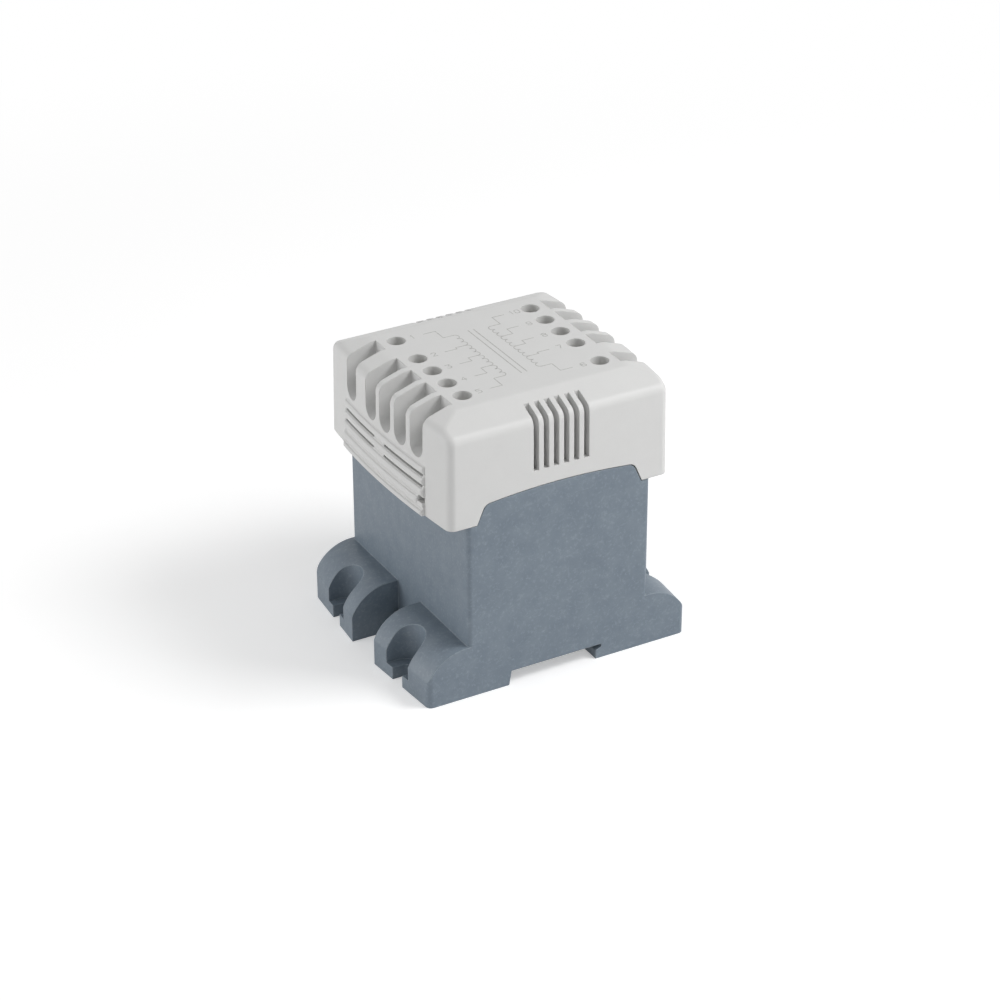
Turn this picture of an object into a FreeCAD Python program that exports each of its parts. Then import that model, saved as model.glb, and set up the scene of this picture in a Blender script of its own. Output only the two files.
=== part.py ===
import FreeCAD, Part
import Sketcher

import math
import os

# Control transformer: a moulded housing with slotted feet and a rail latch, the core and coils
# inside it, two rows of screw terminals and a ventilated cover over them.
# Millimetres, +Z up, X along the terminal ends, origin at the centre of the underside.

SIZES = {
    # housing, outside
    "base_length": 104.2,
    "base_bow": 3.0,
    "base_width": 88.8,
    "base_corner": 2.2,
    "foot_end_height": 10.1,
    "foot_top": 20.3,
    "foot_round": 16.3,
    "foot_gap": 17.2,
    "foot_end_ease": 0.2,
    "body_corner": 1.6,
    "body_height": 67.8,
    # housing, inside
    "body_wall": 2.4,
    "cavity_floor": 10.8,
    # fixing slots in the feet
    "fixing_end_inset": 1.8,
    "fixing_pitch_wide": 48.0,
    "fixing_slot_width": 6.2,
    "fixing_sink_width": 14.2,
    "fixing_floor": 4.8,
    # channel for a 35 mm rail
    "rail_width": 35.4,
    "rail_left_land": 16.1,
    "rail_depth": 5.6,
    "rail_wall_lean": 1.0,
    "rail_hook_reach": 2.2,
    "rail_lip_height": 3.4,
    "rail_lip_back": 4.45,
    # rail latch and its guide
    "latch_width": 15.8,
    "latch_bottom": 0.6,
    "latch_top": 4.3,
    "latch_hold": 3.6,
    "latch_tab_thickness": 2.2,
    "latch_tab_top": 8.15,
    "latch_rib": 1.0,
    "latch_rib_bottom": 2.4,
    "latch_clearance": 0.3,
    "latch_mouth_top": 8.45,
    "latch_mouth_depth": 3.4,
    "latch_eye_width": 7.0,
    "latch_eye_bottom": 5.0,
    "latch_eye_top": 7.0,
    "spring_window_width": 5.0,
    "spring_window_inset": 3.9,
    "spring_window_length": 10.0,
    "spring_post_width": 3.6,
    "spring_post_thickness": 1.6,
    "spring_half_width": 2.0,
    "spring_strip": 0.4,
    "spring_height": 2.2,
    # cover, outside
    "cover_length": 86.6,
    "cover_end_reach": 7.0,
    "cover_bow": 2.9,
    "cover_side_reach": 0.2,
    "cover_corner": 3.0,
    "cover_height": 39.1,
    "cover_draft": 0.5,
    "cover_wall": 2.2,
    "cover_roof": 2.4,
    "end_slope_run": 10.0,
    "end_slope_drop": 3.3,
    "end_shoulder_round": 4.0,
    "end_crest_round": 8.0,
    "front_slope_run": 12.0,
    "front_slope_drop": 4.9,
    "front_shoulder_round": 3.5,
    # seam between the cover and the housing on the long sides
    "seam": 0.3,
    "arch_end_inset": 3.5,
    "arch_shoulder_inset": 2.4,
    "arch_shoulder_rise": 5.5,
    "arch_knee_inset": 5.4,
    "arch_knee_rise": 7.5,
    "arch_knee_round": 3.4,
    "arch_crown_rise": 9.0,
    # vents on the long sides
    "vent_count": 6,
    "vent_pitch": 3.97,
    "vent_width": 2.05,
    "vent_run": 7.4,
    "vent_shift": 0.35,
    "vent_drop": 24.2,
    # louvred panels on the ends
    "louvre_half_width": 29.6,
    "louvre_below_slot": 0.8,
    "louvre_pitch": 4.1,
    "louvre_foot": 0.5,
    "louvre_proud": 1.2,
    "louvre_groove_depth": 0.55,
    "louvre_groove_half": 0.7,
    "louvre_slit_rows": 2,
    "louvre_slit_height": 1.1,
    "louvre_slit_half_width": 28.6,
    "louvre_bridge": 7.6,
    "louvre_bridge_shift": 1.4,
    "release_width": 3.0,
    "release_height": 2.0,
    "release_rise": 4.8,
    # terminals
    "terminal_row_inset": 16.2,
    "terminal_pitch": 10.75,
    "terminal_gap": 16.15,
    "wire_slot_width": 8.1,
    "wire_slot_depth": 19.0,
    "wire_slot_past_row": 6.1,
    "wire_slot_rise": 0.3,
    "wire_slot_wall": 1.3,
    "wire_slot_floor": 2.2,
    "wire_window_width": 6.2,
    "wire_window_drop": 9.0,
    "screw_hole_radius": 3.4,
    "collar_wall": 1.4,
    "screw_head_radius": 3.0,
    "screw_head_thickness": 2.4,
    "screw_slot_width": 0.9,
    "screw_slot_depth": 1.1,
    "screw_shank_radius": 1.7,
    "cage_length": 7.2,
    "cage_width": 7.4,
    "cage_height": 11.2,
    "cage_below_block": 1.0,
    "cage_wall": 1.2,
    "bar_width": 4.4,
    "bar_thickness": 1.4,
    "bar_below_cage": 3.3,
    "bar_tail_rise": 12.2,
    "bar_tail_thickness": 1.2,
    "block_plate_end_gap": 0.5,
    "block_plate_side_gap": 4.4,
    "block_plate_lap": 2.5,
    "block_plate_thickness": 3.2,
    "block_inner_reach": 5.1,
    "block_outer_reach": 4.5,
    "block_end_wall": 1.2,
    "block_below_cover": 6.0,
    "block_step_gap": 0.9,
    "block_cell_clearance": 0.3,
    "lead_radius": 0.7,
    # core and coils
    "core_side_room": 3.0,
    "core_end_room": 14.9,
    "core_above_rim": 8.0,
    "core_hole_radius": 2.3,
    "core_hole_inset": 5.8,
    "former_clearance": 0.3,
    "former_wall": 1.2,
    "former_flange": 1.3,
    "former_past_core": 12.5,
    "winding_end_setback": 1.9,
    "winding_setback": 1.4,
    "winding_corner": 3.5,
    "tape_thickness": 0.4,
    "clamp_thickness": 1.5,
    "clamp_height": 11.2,
    "clamp_foot": 10.0,
    "clamp_end_inset": 0.4,
    "clamp_screw_inset": 12.8,
    "bolt_radius": 2.0,
    "bolt_head_height": 2.8,
    "bolt_end": 1.0,
    "bolt_key_width": 7.0,
    "nut_height": 3.2,
    "frame_screw_radius": 1.45,
    "frame_screw_head_radius": 2.8,
    "frame_screw_head_height": 2.0,
    "frame_screw_length": 7.0,
    "frame_screw_tip_gap": 1.0,
    "thread_clearance": 0.08,
}

MARGIN = 5.0  # how far a cutting tool runs past the face that it opens
FLAT_COUNT = 6  # sides of a small fastener's shank and of the bore that it stands in
HEAD_FLAT_COUNT = 10  # sides of a terminal screw's head
SPRING_FOLDS = 7  # turns of the latch spring
CORNER_LEAN = 3.0  # how far a corner edge of the cover may stray from upright
SHEET = "Sizes"
LEFT = 1
RIGHT = -1
SIDE_NAMES = {LEFT: "left", RIGHT: "right"}


class Size:
    """A length with its number and the sheet expression that gives it."""

    def __init__(self, value, text):
        self.value = float(value)
        self.text = text

    def __add__(self, other):
        other = as_size(other)
        return Size(self.value + other.value, f"({self.text} + {other.text})")

    def __radd__(self, other):
        return as_size(other) + self

    def __sub__(self, other):
        other = as_size(other)
        return Size(self.value - other.value, f"({self.text} - {other.text})")

    def __rsub__(self, other):
        return as_size(other) - self

    def __mul__(self, other):
        other = as_size(other)
        return Size(self.value * other.value, f"({self.text} * {other.text})")

    def __rmul__(self, other):
        return as_size(other) * self

    def __truediv__(self, other):
        other = as_size(other)
        return Size(self.value / other.value, f"({self.text} / {other.text})")

    def __neg__(self):
        return Size(-self.value, f"(0 - {self.text})")


def as_size(number):
    """Give a plain number the form of a Size."""
    return number if isinstance(number, Size) else Size(number, repr(float(number)))


def root(size):
    """Square root of a Size."""
    return Size(math.sqrt(size.value), f"sqrt({size.text})")


def bow_radius(half_chord, rise):
    """Radius of the arc that spans a chord with the given rise."""
    return (half_chord * half_chord + rise * rise) / (2 * rise)


doc = FreeCAD.newDocument("control_transformer")
sheet = doc.addObject("Spreadsheet::Sheet", SHEET)
for row, (alias, number) in enumerate(SIZES.items(), start=1):
    sheet.set(f"A{row}", alias)
    sheet.set(f"B{row}", str(number))
    sheet.setAlias(f"B{row}", alias)
doc.recompute()
S = type("Sizes", (), {alias: Size(number, f"{SHEET}.{alias}") for alias, number in SIZES.items()})

# Lengths and widths that follow from others
S.body_length = S.cover_length - 2 * S.cover_end_reach
S.cover_width = S.base_width + 2 * S.cover_side_reach
S.fixing_pitch_long = S.base_length - 2 * S.fixing_end_inset
S.rail_left_edge = S.body_length / 2 - S.rail_left_land
S.rail_right_edge = S.rail_width - S.rail_left_edge
S.latch_nose = S.rail_left_edge - S.latch_hold
S.spring_window_far = S.body_length / 2 - S.spring_window_inset
S.spring_window_near = S.spring_window_far - S.spring_window_length
S.arch_foot_half = S.body_length / 2 - S.arch_end_inset
S.arch_shoulder_half = S.arch_foot_half - S.arch_shoulder_inset
S.arch_knee_half = S.arch_foot_half - S.arch_knee_inset
S.terminal_row = S.cover_length / 2 - S.terminal_row_inset
S.wire_slot_end = S.terminal_row + S.wire_slot_past_row
S.block_plate_outer = S.cover_length / 2 - S.cover_wall - S.block_plate_end_gap
S.block_plate_inner = S.terminal_row - S.block_plate_lap
S.block_plate_half_width = S.base_width / 2 - S.block_plate_side_gap
S.block_outer = S.terminal_row + S.block_outer_reach
S.block_inner = S.terminal_row - S.block_inner_reach
S.core_stack = 2 * (S.body_length / 2 - S.body_wall - S.core_end_room)
S.core_module = (S.base_width / 2 - S.body_wall - S.core_side_room) / 3
S.former_flange_reach = S.core_stack / 2 + S.former_past_core
S.winding_reach = S.former_flange_reach - S.winding_end_setback
S.clamp_half_width = 3 * S.core_module - S.clamp_end_inset
S.clamp_screw_half_pitch = S.clamp_half_width - S.clamp_screw_inset

# Heights that follow from others
S.cover_bottom = S.body_height + S.seam
S.cover_top = S.cover_bottom + S.cover_height
S.arch_shoulder_height = S.cover_bottom + S.arch_shoulder_rise
S.arch_knee_height = S.cover_bottom + S.arch_knee_rise
S.arch_crown_height = S.cover_bottom + S.arch_crown_rise
S.vent_bottom = S.cover_top - S.vent_drop
S.wire_slot_bottom = S.cover_top - S.wire_slot_depth
S.wire_window_top = S.cover_top - S.wire_window_drop
S.louvre_top = S.wire_slot_bottom - S.louvre_below_slot
S.release_base = S.cover_bottom + S.release_rise
S.block_top = S.cover_top - S.block_below_cover
S.cage_top = S.block_top - S.cage_below_block
S.cage_bottom = S.cage_top - S.cage_height
S.bar_bottom = S.cage_top - S.bar_below_cage
S.bar_tail = S.body_height + S.bar_tail_rise
S.screw_head_top = S.cage_top + S.screw_head_thickness
S.core_height = S.body_height - S.cavity_floor + S.core_above_rim
S.core_yoke = S.core_height / 5


# Building blocks

def link(feature, prop, size):
    """Bind one property to its sheet expression."""
    feature.setExpression(prop, as_size(size).text)


def place(feature, x, y, z):
    """Bind the position of a feature."""
    for axis, size in zip("xyz", (x, y, z)):
        link(feature, f"Placement.Base.{axis}", size)


def box(x, y, z, side=LEFT):
    """Box between pairs of faces; on the right side it is turned half a turn about Z."""
    if side == RIGHT:
        x = (-x[1], -x[0])
        y = (-y[1], -y[0])
    feature = doc.addObject("Part::Box", "Box")
    link(feature, "Length", as_size(x[1]) - x[0])
    link(feature, "Width", as_size(y[1]) - y[0])
    link(feature, "Height", as_size(z[1]) - z[0])
    place(feature, x[0], y[0], z[0])
    return feature


def middle(half):
    """Range that lies evenly about zero."""
    return (-half, half)


def about(centre, half):
    """Range that lies evenly about a centre."""
    return (centre - half, centre + half)


def rod(radius, start, length, axis="z", side=LEFT):
    """Cylinder from a start point along an axis."""
    x, y, z = start
    if side == RIGHT:
        x, y = -x, -y
    feature = doc.addObject("Part::Cylinder", "Rod")
    if axis == "x":
        feature.Placement.Rotation = FreeCAD.Rotation(FreeCAD.Vector(0, 1, 0), 90)
    link(feature, "Radius", radius)
    link(feature, "Height", length)
    place(feature, x, y, z)
    return feature


def post(radius, start, length, axis="z", side=LEFT, flats=FLAT_COUNT):
    """Rod drawn with flats inside its radius, for the many small fasteners and their bores."""
    x, y, z = start
    if side == RIGHT:
        x, y = -x, -y
    feature = doc.addObject("Part::Prism", "Post")
    feature.Polygon = flats
    if axis == "x":
        feature.Placement.Rotation = FreeCAD.Rotation(FreeCAD.Vector(0, 1, 0), 90)
    link(feature, "Circumradius", radius)
    link(feature, "Height", length)
    place(feature, x, y, z)
    return feature


def fuse(*parts):
    """One solid from several that meet."""
    feature = doc.addObject("Part::MultiFuse", "Fuse")
    feature.Shapes = list(parts)
    feature.Refine = True
    return feature


def common(*parts):
    """What several solids share."""
    feature = doc.addObject("Part::MultiCommon", "Common")
    feature.Shapes = list(parts)
    return feature


def cut(base, *tools):
    """A solid less its tools."""
    feature = doc.addObject("Part::Cut", "Cut")
    feature.Base = base
    feature.Tool = tools[0] if len(tools) == 1 else group(*tools)
    feature.Refine = True
    return feature


def group(*parts):
    """Separate solids kept together."""
    feature = doc.addObject("Part::Compound", "Group")
    feature.Links = list(parts)
    return feature


def half_turn(source):
    """A second solid, turned half a turn about Z: two mirrors at right angles."""
    first = doc.addObject("Part::Mirroring", "Mirror")
    first.Source = source
    first.Normal = FreeCAD.Vector(1, 0, 0)
    second = doc.addObject("Part::Mirroring", "Mirror")
    second.Source = first
    second.Normal = FreeCAD.Vector(0, 1, 0)
    return second


def mirrored(source, x=1, y=0):
    """A mirror image across the middle plane."""
    feature = doc.addObject("Part::Mirroring", "Mirror")
    feature.Source = source
    feature.Normal = FreeCAD.Vector(x, y, 0)
    return feature


def round_edges(base, radius, wanted):
    """Fillet the edges that the test picks."""
    doc.recompute()
    picked = [n for n, edge in enumerate(base.Shape.Edges, start=1) if wanted(edge)]
    feature = doc.addObject("Part::Fillet", "Fillet")
    feature.Base = base
    feature.Edges = [(n, radius.value, radius.value) for n in picked]
    return feature


def lies_at(height):
    """Test for a long edge that lies level at a height."""
    return lambda edge: (edge.Length > 4 * MARGIN and abs(edge.BoundBox.ZMin - height.value) < 1e-3
                         and abs(edge.BoundBox.ZMax - height.value) < 1e-3)


def bevel_edges(base, size, wanted):
    """Chamfer the edges that the test picks."""
    doc.recompute()
    picked = [n for n, edge in enumerate(base.Shape.Edges, start=1) if wanted(edge)]
    feature = doc.addObject("Part::Chamfer", "Bevel")
    feature.Base = base
    feature.Edges = [(n, size.value, size.value) for n in picked]
    return feature


def is_upright(edge):
    """True for a straight edge along Z."""
    ends = [vertex.Point for vertex in edge.Vertexes]
    if len(ends) != 2:
        return False
    span = ends[1] - ends[0]
    return span.Length > 1.0 and abs(span.z) > 0.999 * span.Length


PLANES = {
    "xz": FreeCAD.Rotation(FreeCAD.Vector(1, 0, 0), 90),
    "yz": FreeCAD.Rotation(FreeCAD.Vector(1, 1, 1), 120),
}


def outline(plane, points, offset=0.0):
    """Closed sketch through the points; a point with a radius ends an arc, bulging left of the way."""
    sketch = doc.addObject("Sketcher::SketchObject", "Outline")
    sketch.Placement.Rotation = PLANES[plane]
    link(sketch, "Placement.Base.y" if plane == "xz" else "Placement.Base.x", offset)
    places = [(as_size(p[0]), as_size(p[1])) for p in points]
    radii = [as_size(p[2]) if len(p) > 2 else None for p in points]
    edges = []
    for n, radius in enumerate(radii[1:] + radii[:1]):
        start = FreeCAD.Vector(places[n][0].value, places[n][1].value, 0)
        after = places[(n + 1) % len(places)]
        end = FreeCAD.Vector(after[0].value, after[1].value, 0)
        edges.append(sketch_edge(sketch, start, end, radius))
    for n, (edge, (begin_pos, _)) in enumerate(edges):
        before, (_, end_pos) = edges[n - 1]
        sketch.addConstraint(Sketcher.Constraint("Coincident", before, end_pos, edge, begin_pos))
        for kind, size in zip(("DistanceX", "DistanceY"), places[n]):
            bind_constraint(sketch, Sketcher.Constraint(kind, -1, 1, edge, begin_pos, size.value), size)
    for (edge, _), radius in zip(edges, radii[1:] + radii[:1]):
        if radius is not None:
            length = Size(abs(radius.value), f"abs({radius.text})")
            bind_constraint(sketch, Sketcher.Constraint("Radius", edge, length.value), length)
    return sketch


def tangent_arc(before, corner, after, radius):
    """Two outline points that round off a corner which bulges left of the way."""
    ways = []
    for start, end in ((before, corner), (corner, after)):
        run, rise = end[0] - start[0], end[1] - start[1]
        length = root(run * run + rise * rise)
        ways.append((run / length, rise / length))
    (x_in, z_in), (x_out, z_out) = ways
    turn = x_in * x_out + z_in * z_out
    reach = radius * root((1 - turn) / (1 + turn))
    return [(corner[0] - x_in * reach, corner[1] - z_in * reach),
            (corner[0] + x_out * reach, corner[1] + z_out * reach, radius)]


def sketch_edge(sketch, start, end, radius):
    """Add a line, or an arc whose radius is positive where it bulges left of the way."""
    if radius is None:
        return sketch.addGeometry(Part.LineSegment(start, end), False), (1, 2)
    chord = end - start
    left = FreeCAD.Vector(-chord.y, chord.x, 0).normalize()
    reach = math.sqrt(max(radius.value ** 2 - chord.Length ** 2 / 4, 0.0))
    sign = 1 if radius.value > 0 else -1
    centre = (start + end) * 0.5 - left * sign * reach
    first, last = (end, start) if sign > 0 else (start, end)
    low = math.atan2(first.y - centre.y, first.x - centre.x)
    high = math.atan2(last.y - centre.y, last.x - centre.x)
    circle = Part.Circle(centre, FreeCAD.Vector(0, 0, 1), abs(radius.value))
    arc = Part.ArcOfCircle(circle, low, high if high > low else high + 2 * math.pi)
    return sketch.addGeometry(arc, False), ((2, 1) if sign > 0 else (1, 2))


def bind_constraint(sketch, constraint, size):
    """Add a dimension and tie it to the sheet."""
    number = sketch.addConstraint(constraint)
    name = f"size{number}"
    sketch.renameConstraint(number, name)
    link(sketch, f"Constraints.{name}", size)


def prism(sketch, direction, length):
    """Solid drawn from an outline along a direction."""
    feature = doc.addObject("Part::Extrusion", "Prism")
    feature.Base = sketch
    feature.DirMode = "Custom"
    feature.Dir = FreeCAD.Vector(*direction)
    feature.Solid = True
    link(feature, "LengthFwd", length)
    return feature


def swept_about(sketch, axis_x, degrees=44.0):
    """Solid turned evenly about an upright axis, for the bowed ends."""
    feature = doc.addObject("Part::Revolution", "Turned")
    feature.Source = sketch
    feature.Axis = FreeCAD.Vector(0, 0, 1)
    feature.Angle = degrees
    feature.Symmetric = True
    feature.Solid = True
    link(feature, "Base.x", axis_x)
    return feature


nodes = []


def sub_part(feature, name):
    """Name a finished piece."""
    feature.Label = name
    nodes.append(feature)
    return feature


def terminal_places():
    """Where the terminals of the left row stand along Y, from the back."""
    first = (S.terminal_gap + 3 * S.terminal_pitch) / 2
    second = first - S.terminal_gap
    return [first] + [second - n * S.terminal_pitch for n in range(4)]


# Housing

def arch_points(gap):
    """Seam outline on the long sides, lowered by a gap, from left to right over the crown."""
    knee = S.arch_knee_height - gap
    crown = bow_radius(S.arch_knee_half - gap, S.arch_crown_height - S.arch_knee_height)
    return [
        (gap - S.arch_foot_half, S.cover_bottom),
        (gap - S.arch_shoulder_half, S.arch_shoulder_height - gap),
        (gap - S.arch_knee_half, knee, S.arch_knee_round),
        (S.arch_knee_half - gap, knee, crown),
        (S.arch_shoulder_half - gap, S.arch_shoulder_height - gap, S.arch_knee_round),
        (S.arch_foot_half - gap, S.cover_bottom),
    ]


def foot_end(y):
    """How far out the bowed end of the feet lies at a distance from the middle plane."""
    share = y / (S.base_width / 2)
    return S.base_length / 2 + S.base_bow * (1 - share * share) + S.foot_end_ease


def foot():
    """Left back foot before its slot: a round-shouldered profile along the chord of the bowed end."""
    near = S.foot_gap / 2
    far = S.base_width / 2
    start_x = foot_end(near)
    turn = Size(math.degrees(math.atan(((start_x - foot_end(far)) / (far - near)).value)),
                f"atan({((start_x - foot_end(far)) / (far - near)).text})")
    rise = S.foot_round - (S.foot_top - S.foot_end_height)
    top_x = root(S.foot_round * S.foot_round - rise * rise)
    inner_x = S.base_length / 2 - S.body_length / 2 + S.body_wall
    profile = outline("xz", [
        (0, 0), (0, S.foot_end_height), (top_x, S.foot_top, S.foot_round),
        (2 * inner_x, S.foot_top), (2 * inner_x, 0),
    ], offset=-as_size(MARGIN))
    turned = prism(profile, (0, 1, 0), far - near + 2 * MARGIN)
    turned.Placement.Rotation = FreeCAD.Rotation(FreeCAD.Vector(0, 0, 1), -turn.value)
    link(turned, "Placement.Base.x", -start_x)
    link(turned, "Placement.Base.y", near)
    reach = (-start_x - MARGIN, S.body_wall - S.body_length / 2)
    block = common(turned, box(reach, (near, far), (0, S.foot_top)))
    outer_edge = -(S.body_length / 2 + MARGIN)
    return round_edges(block, S.base_corner, lambda edge: is_upright(edge)
                       and edge.BoundBox.XMax < outer_edge.value and edge.BoundBox.YMin > far.value - MARGIN)


def fixing_cuts():
    """Stepped slots that are open at the foot's end, one for each foot."""
    tools = []
    for side in (LEFT, RIGHT):
        for row in (-1, 1):
            y = row * S.fixing_pitch_wide / 2
            x = -S.fixing_pitch_long / 2
            outer = x - MARGIN * 4
            for width, floor in ((S.fixing_sink_width, S.fixing_floor),
                                 (S.fixing_slot_width, as_size(-MARGIN))):
                height = S.foot_top + MARGIN - floor
                tools.append(rod(width / 2, (x, y, floor), height, side=side))
                tools.append(box((outer, x), about(y, width / 2), (floor, floor + height), side=side))
    return tools


def rail_channel():
    """Channel across the underside, undercut on the right for the rail's edge."""
    right = S.rail_right_edge
    profile = outline("xz", [
        (-S.rail_left_edge, -MARGIN),
        (-S.rail_left_edge, 0),
        (S.rail_wall_lean - S.rail_left_edge, S.rail_depth),
        (right + S.rail_hook_reach, S.rail_depth),
        (right + S.rail_hook_reach, S.rail_lip_back),
        (right, S.rail_lip_height),
        (right, -MARGIN),
    ], offset=-(S.base_width / 2 + MARGIN))
    return prism(profile, (0, 1, 0), S.base_width + 2 * MARGIN)


def latch_guide():
    """Slot under the left wall that the rail latch runs in."""
    half = S.latch_width / 2 + S.latch_clearance
    inner = S.rail_wall_lean - S.rail_left_edge + MARGIN
    outer = -(S.body_length / 2 + MARGIN)
    top = S.latch_top + S.latch_clearance
    rib_bottom = S.latch_rib_bottom - S.latch_clearance
    mouth = -(S.body_length / 2 - S.latch_mouth_depth)
    return [
        box((outer, inner), middle(half), (-MARGIN, top)),
        box((outer, inner), middle(half + S.latch_rib), (rib_bottom, top)),
        box((outer, mouth), middle(half), (-MARGIN, S.latch_mouth_top)),
    ]


def spring_post():
    """Post that the latch spring bears on."""
    far = -(S.spring_window_far - S.latch_clearance)
    half = S.spring_post_width / 2
    return box((far, far + S.spring_post_thickness), middle(half), (S.latch_bottom, S.cavity_floor))


def housing():
    """Moulded body with its feet, open at the top."""
    half_width = S.base_width / 2
    half_body = S.body_length / 2
    block = round_edges(box(middle(half_body), middle(half_width), (0, S.body_height)),
                        S.body_corner, is_upright)
    back_foot = foot()
    front_foot = mirrored(back_foot, x=0, y=1)
    tongue = prism(outline("xz", [(S.seam - S.arch_foot_half, S.body_height - MARGIN)] + arch_points(S.seam)
                           + [(S.arch_foot_half - S.seam, S.body_height - MARGIN)], offset=-half_width),
                   (0, 1, 0), S.base_width)
    body = fuse(block, back_foot, front_foot, mirrored(back_foot), mirrored(front_foot), tongue)
    cavity = box(middle(half_body - S.body_wall), middle(half_width - S.body_wall),
                 (S.cavity_floor, S.arch_crown_height + MARGIN))
    screw_holes = [post(S.frame_screw_radius + S.thread_clearance,
                        (x, y, S.cavity_floor - S.frame_screw_length), S.frame_screw_length + MARGIN)
                   for x, y in frame_screw_places()]
    body = cut(body, cavity, rail_channel(), *fixing_cuts(), *latch_guide(), *screw_holes)
    return sub_part(fuse(body, spring_post()), "housing")


# Rail latch

def rail_latch():
    """Sliding latch: a plate with side ribs, a window for its spring and a tab outside."""
    half = S.latch_width / 2
    wall = S.body_length / 2
    tab_inner = -(wall + S.latch_clearance)
    tab_outer = tab_inner - S.latch_tab_thickness
    rib_end = S.rail_wall_lean - S.rail_left_edge
    plate = box((tab_outer, -S.latch_nose), middle(half), (S.latch_bottom, S.latch_top))
    ribs = box((-wall, rib_end), middle(half + S.latch_rib), (S.latch_rib_bottom, S.latch_top))
    tab = box((tab_outer, tab_inner), middle(half), (S.latch_bottom, S.latch_tab_top))
    window = box((-S.spring_window_far, -S.spring_window_near), middle(S.spring_window_width / 2),
                 (-MARGIN, S.latch_top + MARGIN))
    eye = box((tab_outer - MARGIN, tab_inner + MARGIN), middle(S.latch_eye_width / 2),
              (S.latch_eye_bottom, S.latch_eye_top))
    return sub_part(cut(fuse(plate, ribs, tab), window, eye), "rail_latch")


def latch_spring():
    """Spring between the post and the latch window: a strip folded to and fro."""
    start = S.spring_post_thickness + S.latch_clearance - S.spring_window_far
    pitch = (-S.spring_window_near - start - S.spring_strip) / SPRING_FOLDS
    half = S.spring_half_width
    level = about((S.latch_bottom + S.latch_top) / 2, S.spring_height / 2)
    runs = [box((start + n * pitch, start + n * pitch + S.spring_strip), middle(half), level)
            for n in range(SPRING_FOLDS + 1)]
    bends = [box((start + n * pitch, start + (n + 1) * pitch + S.spring_strip),
                 (half - S.spring_strip, half) if n % 2 else (-half, S.spring_strip - half), level)
             for n in range(SPRING_FOLDS)]
    return sub_part(fuse(*runs, *bends), "latch_spring")


# Core and coils

def core_base():
    """Height of the core's underside: it stands on the housing's floor."""
    return S.cavity_floor


def core_hole_places():
    """Bolt holes at the corners of the core, as Y and Z."""
    low = core_base() + S.core_hole_inset
    high = core_base() + S.core_height - S.core_hole_inset
    out = 3 * S.core_module - S.core_hole_inset
    return [(-out, low), (out, low), (-out, high), (out, high)]


def core_holes():
    """Bores for the core bolts."""
    half = S.core_stack / 2 + MARGIN
    return [post(S.core_hole_radius, (-half, y, z), 2 * half, axis="x") for y, z in core_hole_places()]


def core_stacks():
    """Laminated core: a stack of E sheets with a stack of I sheets on its legs."""
    unit = S.core_module
    base = core_base()
    yoke = base + S.core_yoke
    legs = yoke + 3 * S.core_yoke
    half = S.core_stack / 2
    e_outline = outline("yz", [
        (-3 * unit, base), (3 * unit, base), (3 * unit, legs), (2 * unit, legs), (2 * unit, yoke),
        (unit, yoke), (unit, legs), (-unit, legs), (-unit, yoke), (-2 * unit, yoke),
        (-2 * unit, legs), (-3 * unit, legs),
    ], offset=-half)
    e_stack = prism(e_outline, (1, 0, 0), S.core_stack)
    i_stack = box(middle(half), middle(3 * unit), (legs, legs + S.core_yoke))
    holes = group(*core_holes())
    sub_part(cut(e_stack, holes), "core_e_laminations")
    sub_part(cut(i_stack, holes), "core_i_laminations")


def former_levels():
    """Bottom of the former, its partition's middle and its top."""
    low = core_base() + S.core_yoke
    high = core_base() + 4 * S.core_yoke - S.former_clearance
    return low, (low + high) / 2, high


def former_tube(extra):
    """Half sizes of the former's tube, grown by a wall."""
    return S.core_stack / 2 + S.former_clearance + extra, S.core_module + S.former_clearance + extra


def former_flange_half():
    """Half width of a flange between the core's outer legs."""
    return 2 * S.core_module - S.former_clearance


def coil_former():
    """Two-chamber former: a square tube with three flanges."""
    low, centre, high = former_levels()
    outer_x, outer_y = former_tube(S.former_wall)
    inner_x, inner_y = former_tube(0)
    half = former_flange_half()
    plate = S.former_flange
    levels = ((low, low + plate), (centre - plate / 2, centre + plate / 2), (high - plate, high))
    flanges = [box(middle(S.former_flange_reach), middle(half), level) for level in levels]
    tube = box(middle(outer_x), middle(outer_y), (low, high))
    bore = box(middle(inner_x), middle(inner_y), (low - MARGIN, high + MARGIN))
    return sub_part(cut(fuse(tube, *flanges), bore), "coil_former")


def coil(bottom, top, winding_name, tape_name):
    """One winding round the former's tube with its tape."""
    inner_x, inner_y = former_tube(S.former_wall)
    reach_y = former_flange_half() - S.winding_setback
    body = bevel_edges(box(middle(S.winding_reach), middle(reach_y), (bottom, top)),
                       S.winding_corner, is_upright)
    bore = box(middle(inner_x), middle(inner_y), (bottom - MARGIN, top + MARGIN))
    sub_part(cut(body, bore), winding_name)
    wrap = S.tape_thickness
    sleeve = bevel_edges(box(middle(S.winding_reach + wrap), middle(reach_y + wrap), (bottom, top)),
                         S.winding_corner + wrap, is_upright)
    sub_part(cut(sleeve, body), tape_name)


def windings():
    """Primary in the lower chamber and secondary in the upper one."""
    low, centre, high = former_levels()
    plate = S.former_flange
    coil(low + plate, centre - plate / 2, "primary_winding", "primary_tape")
    coil(centre + plate / 2, high - plate, "secondary_winding", "secondary_tape")


def frame_screw_places():
    """Screws that hold the core's clamp frames to the floor."""
    x = S.core_stack / 2 + S.clamp_thickness + (S.clamp_foot - S.clamp_thickness) / 2
    y = S.clamp_screw_half_pitch
    return [(-x, -y), (-x, y), (x, -y), (x, y)]


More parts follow.
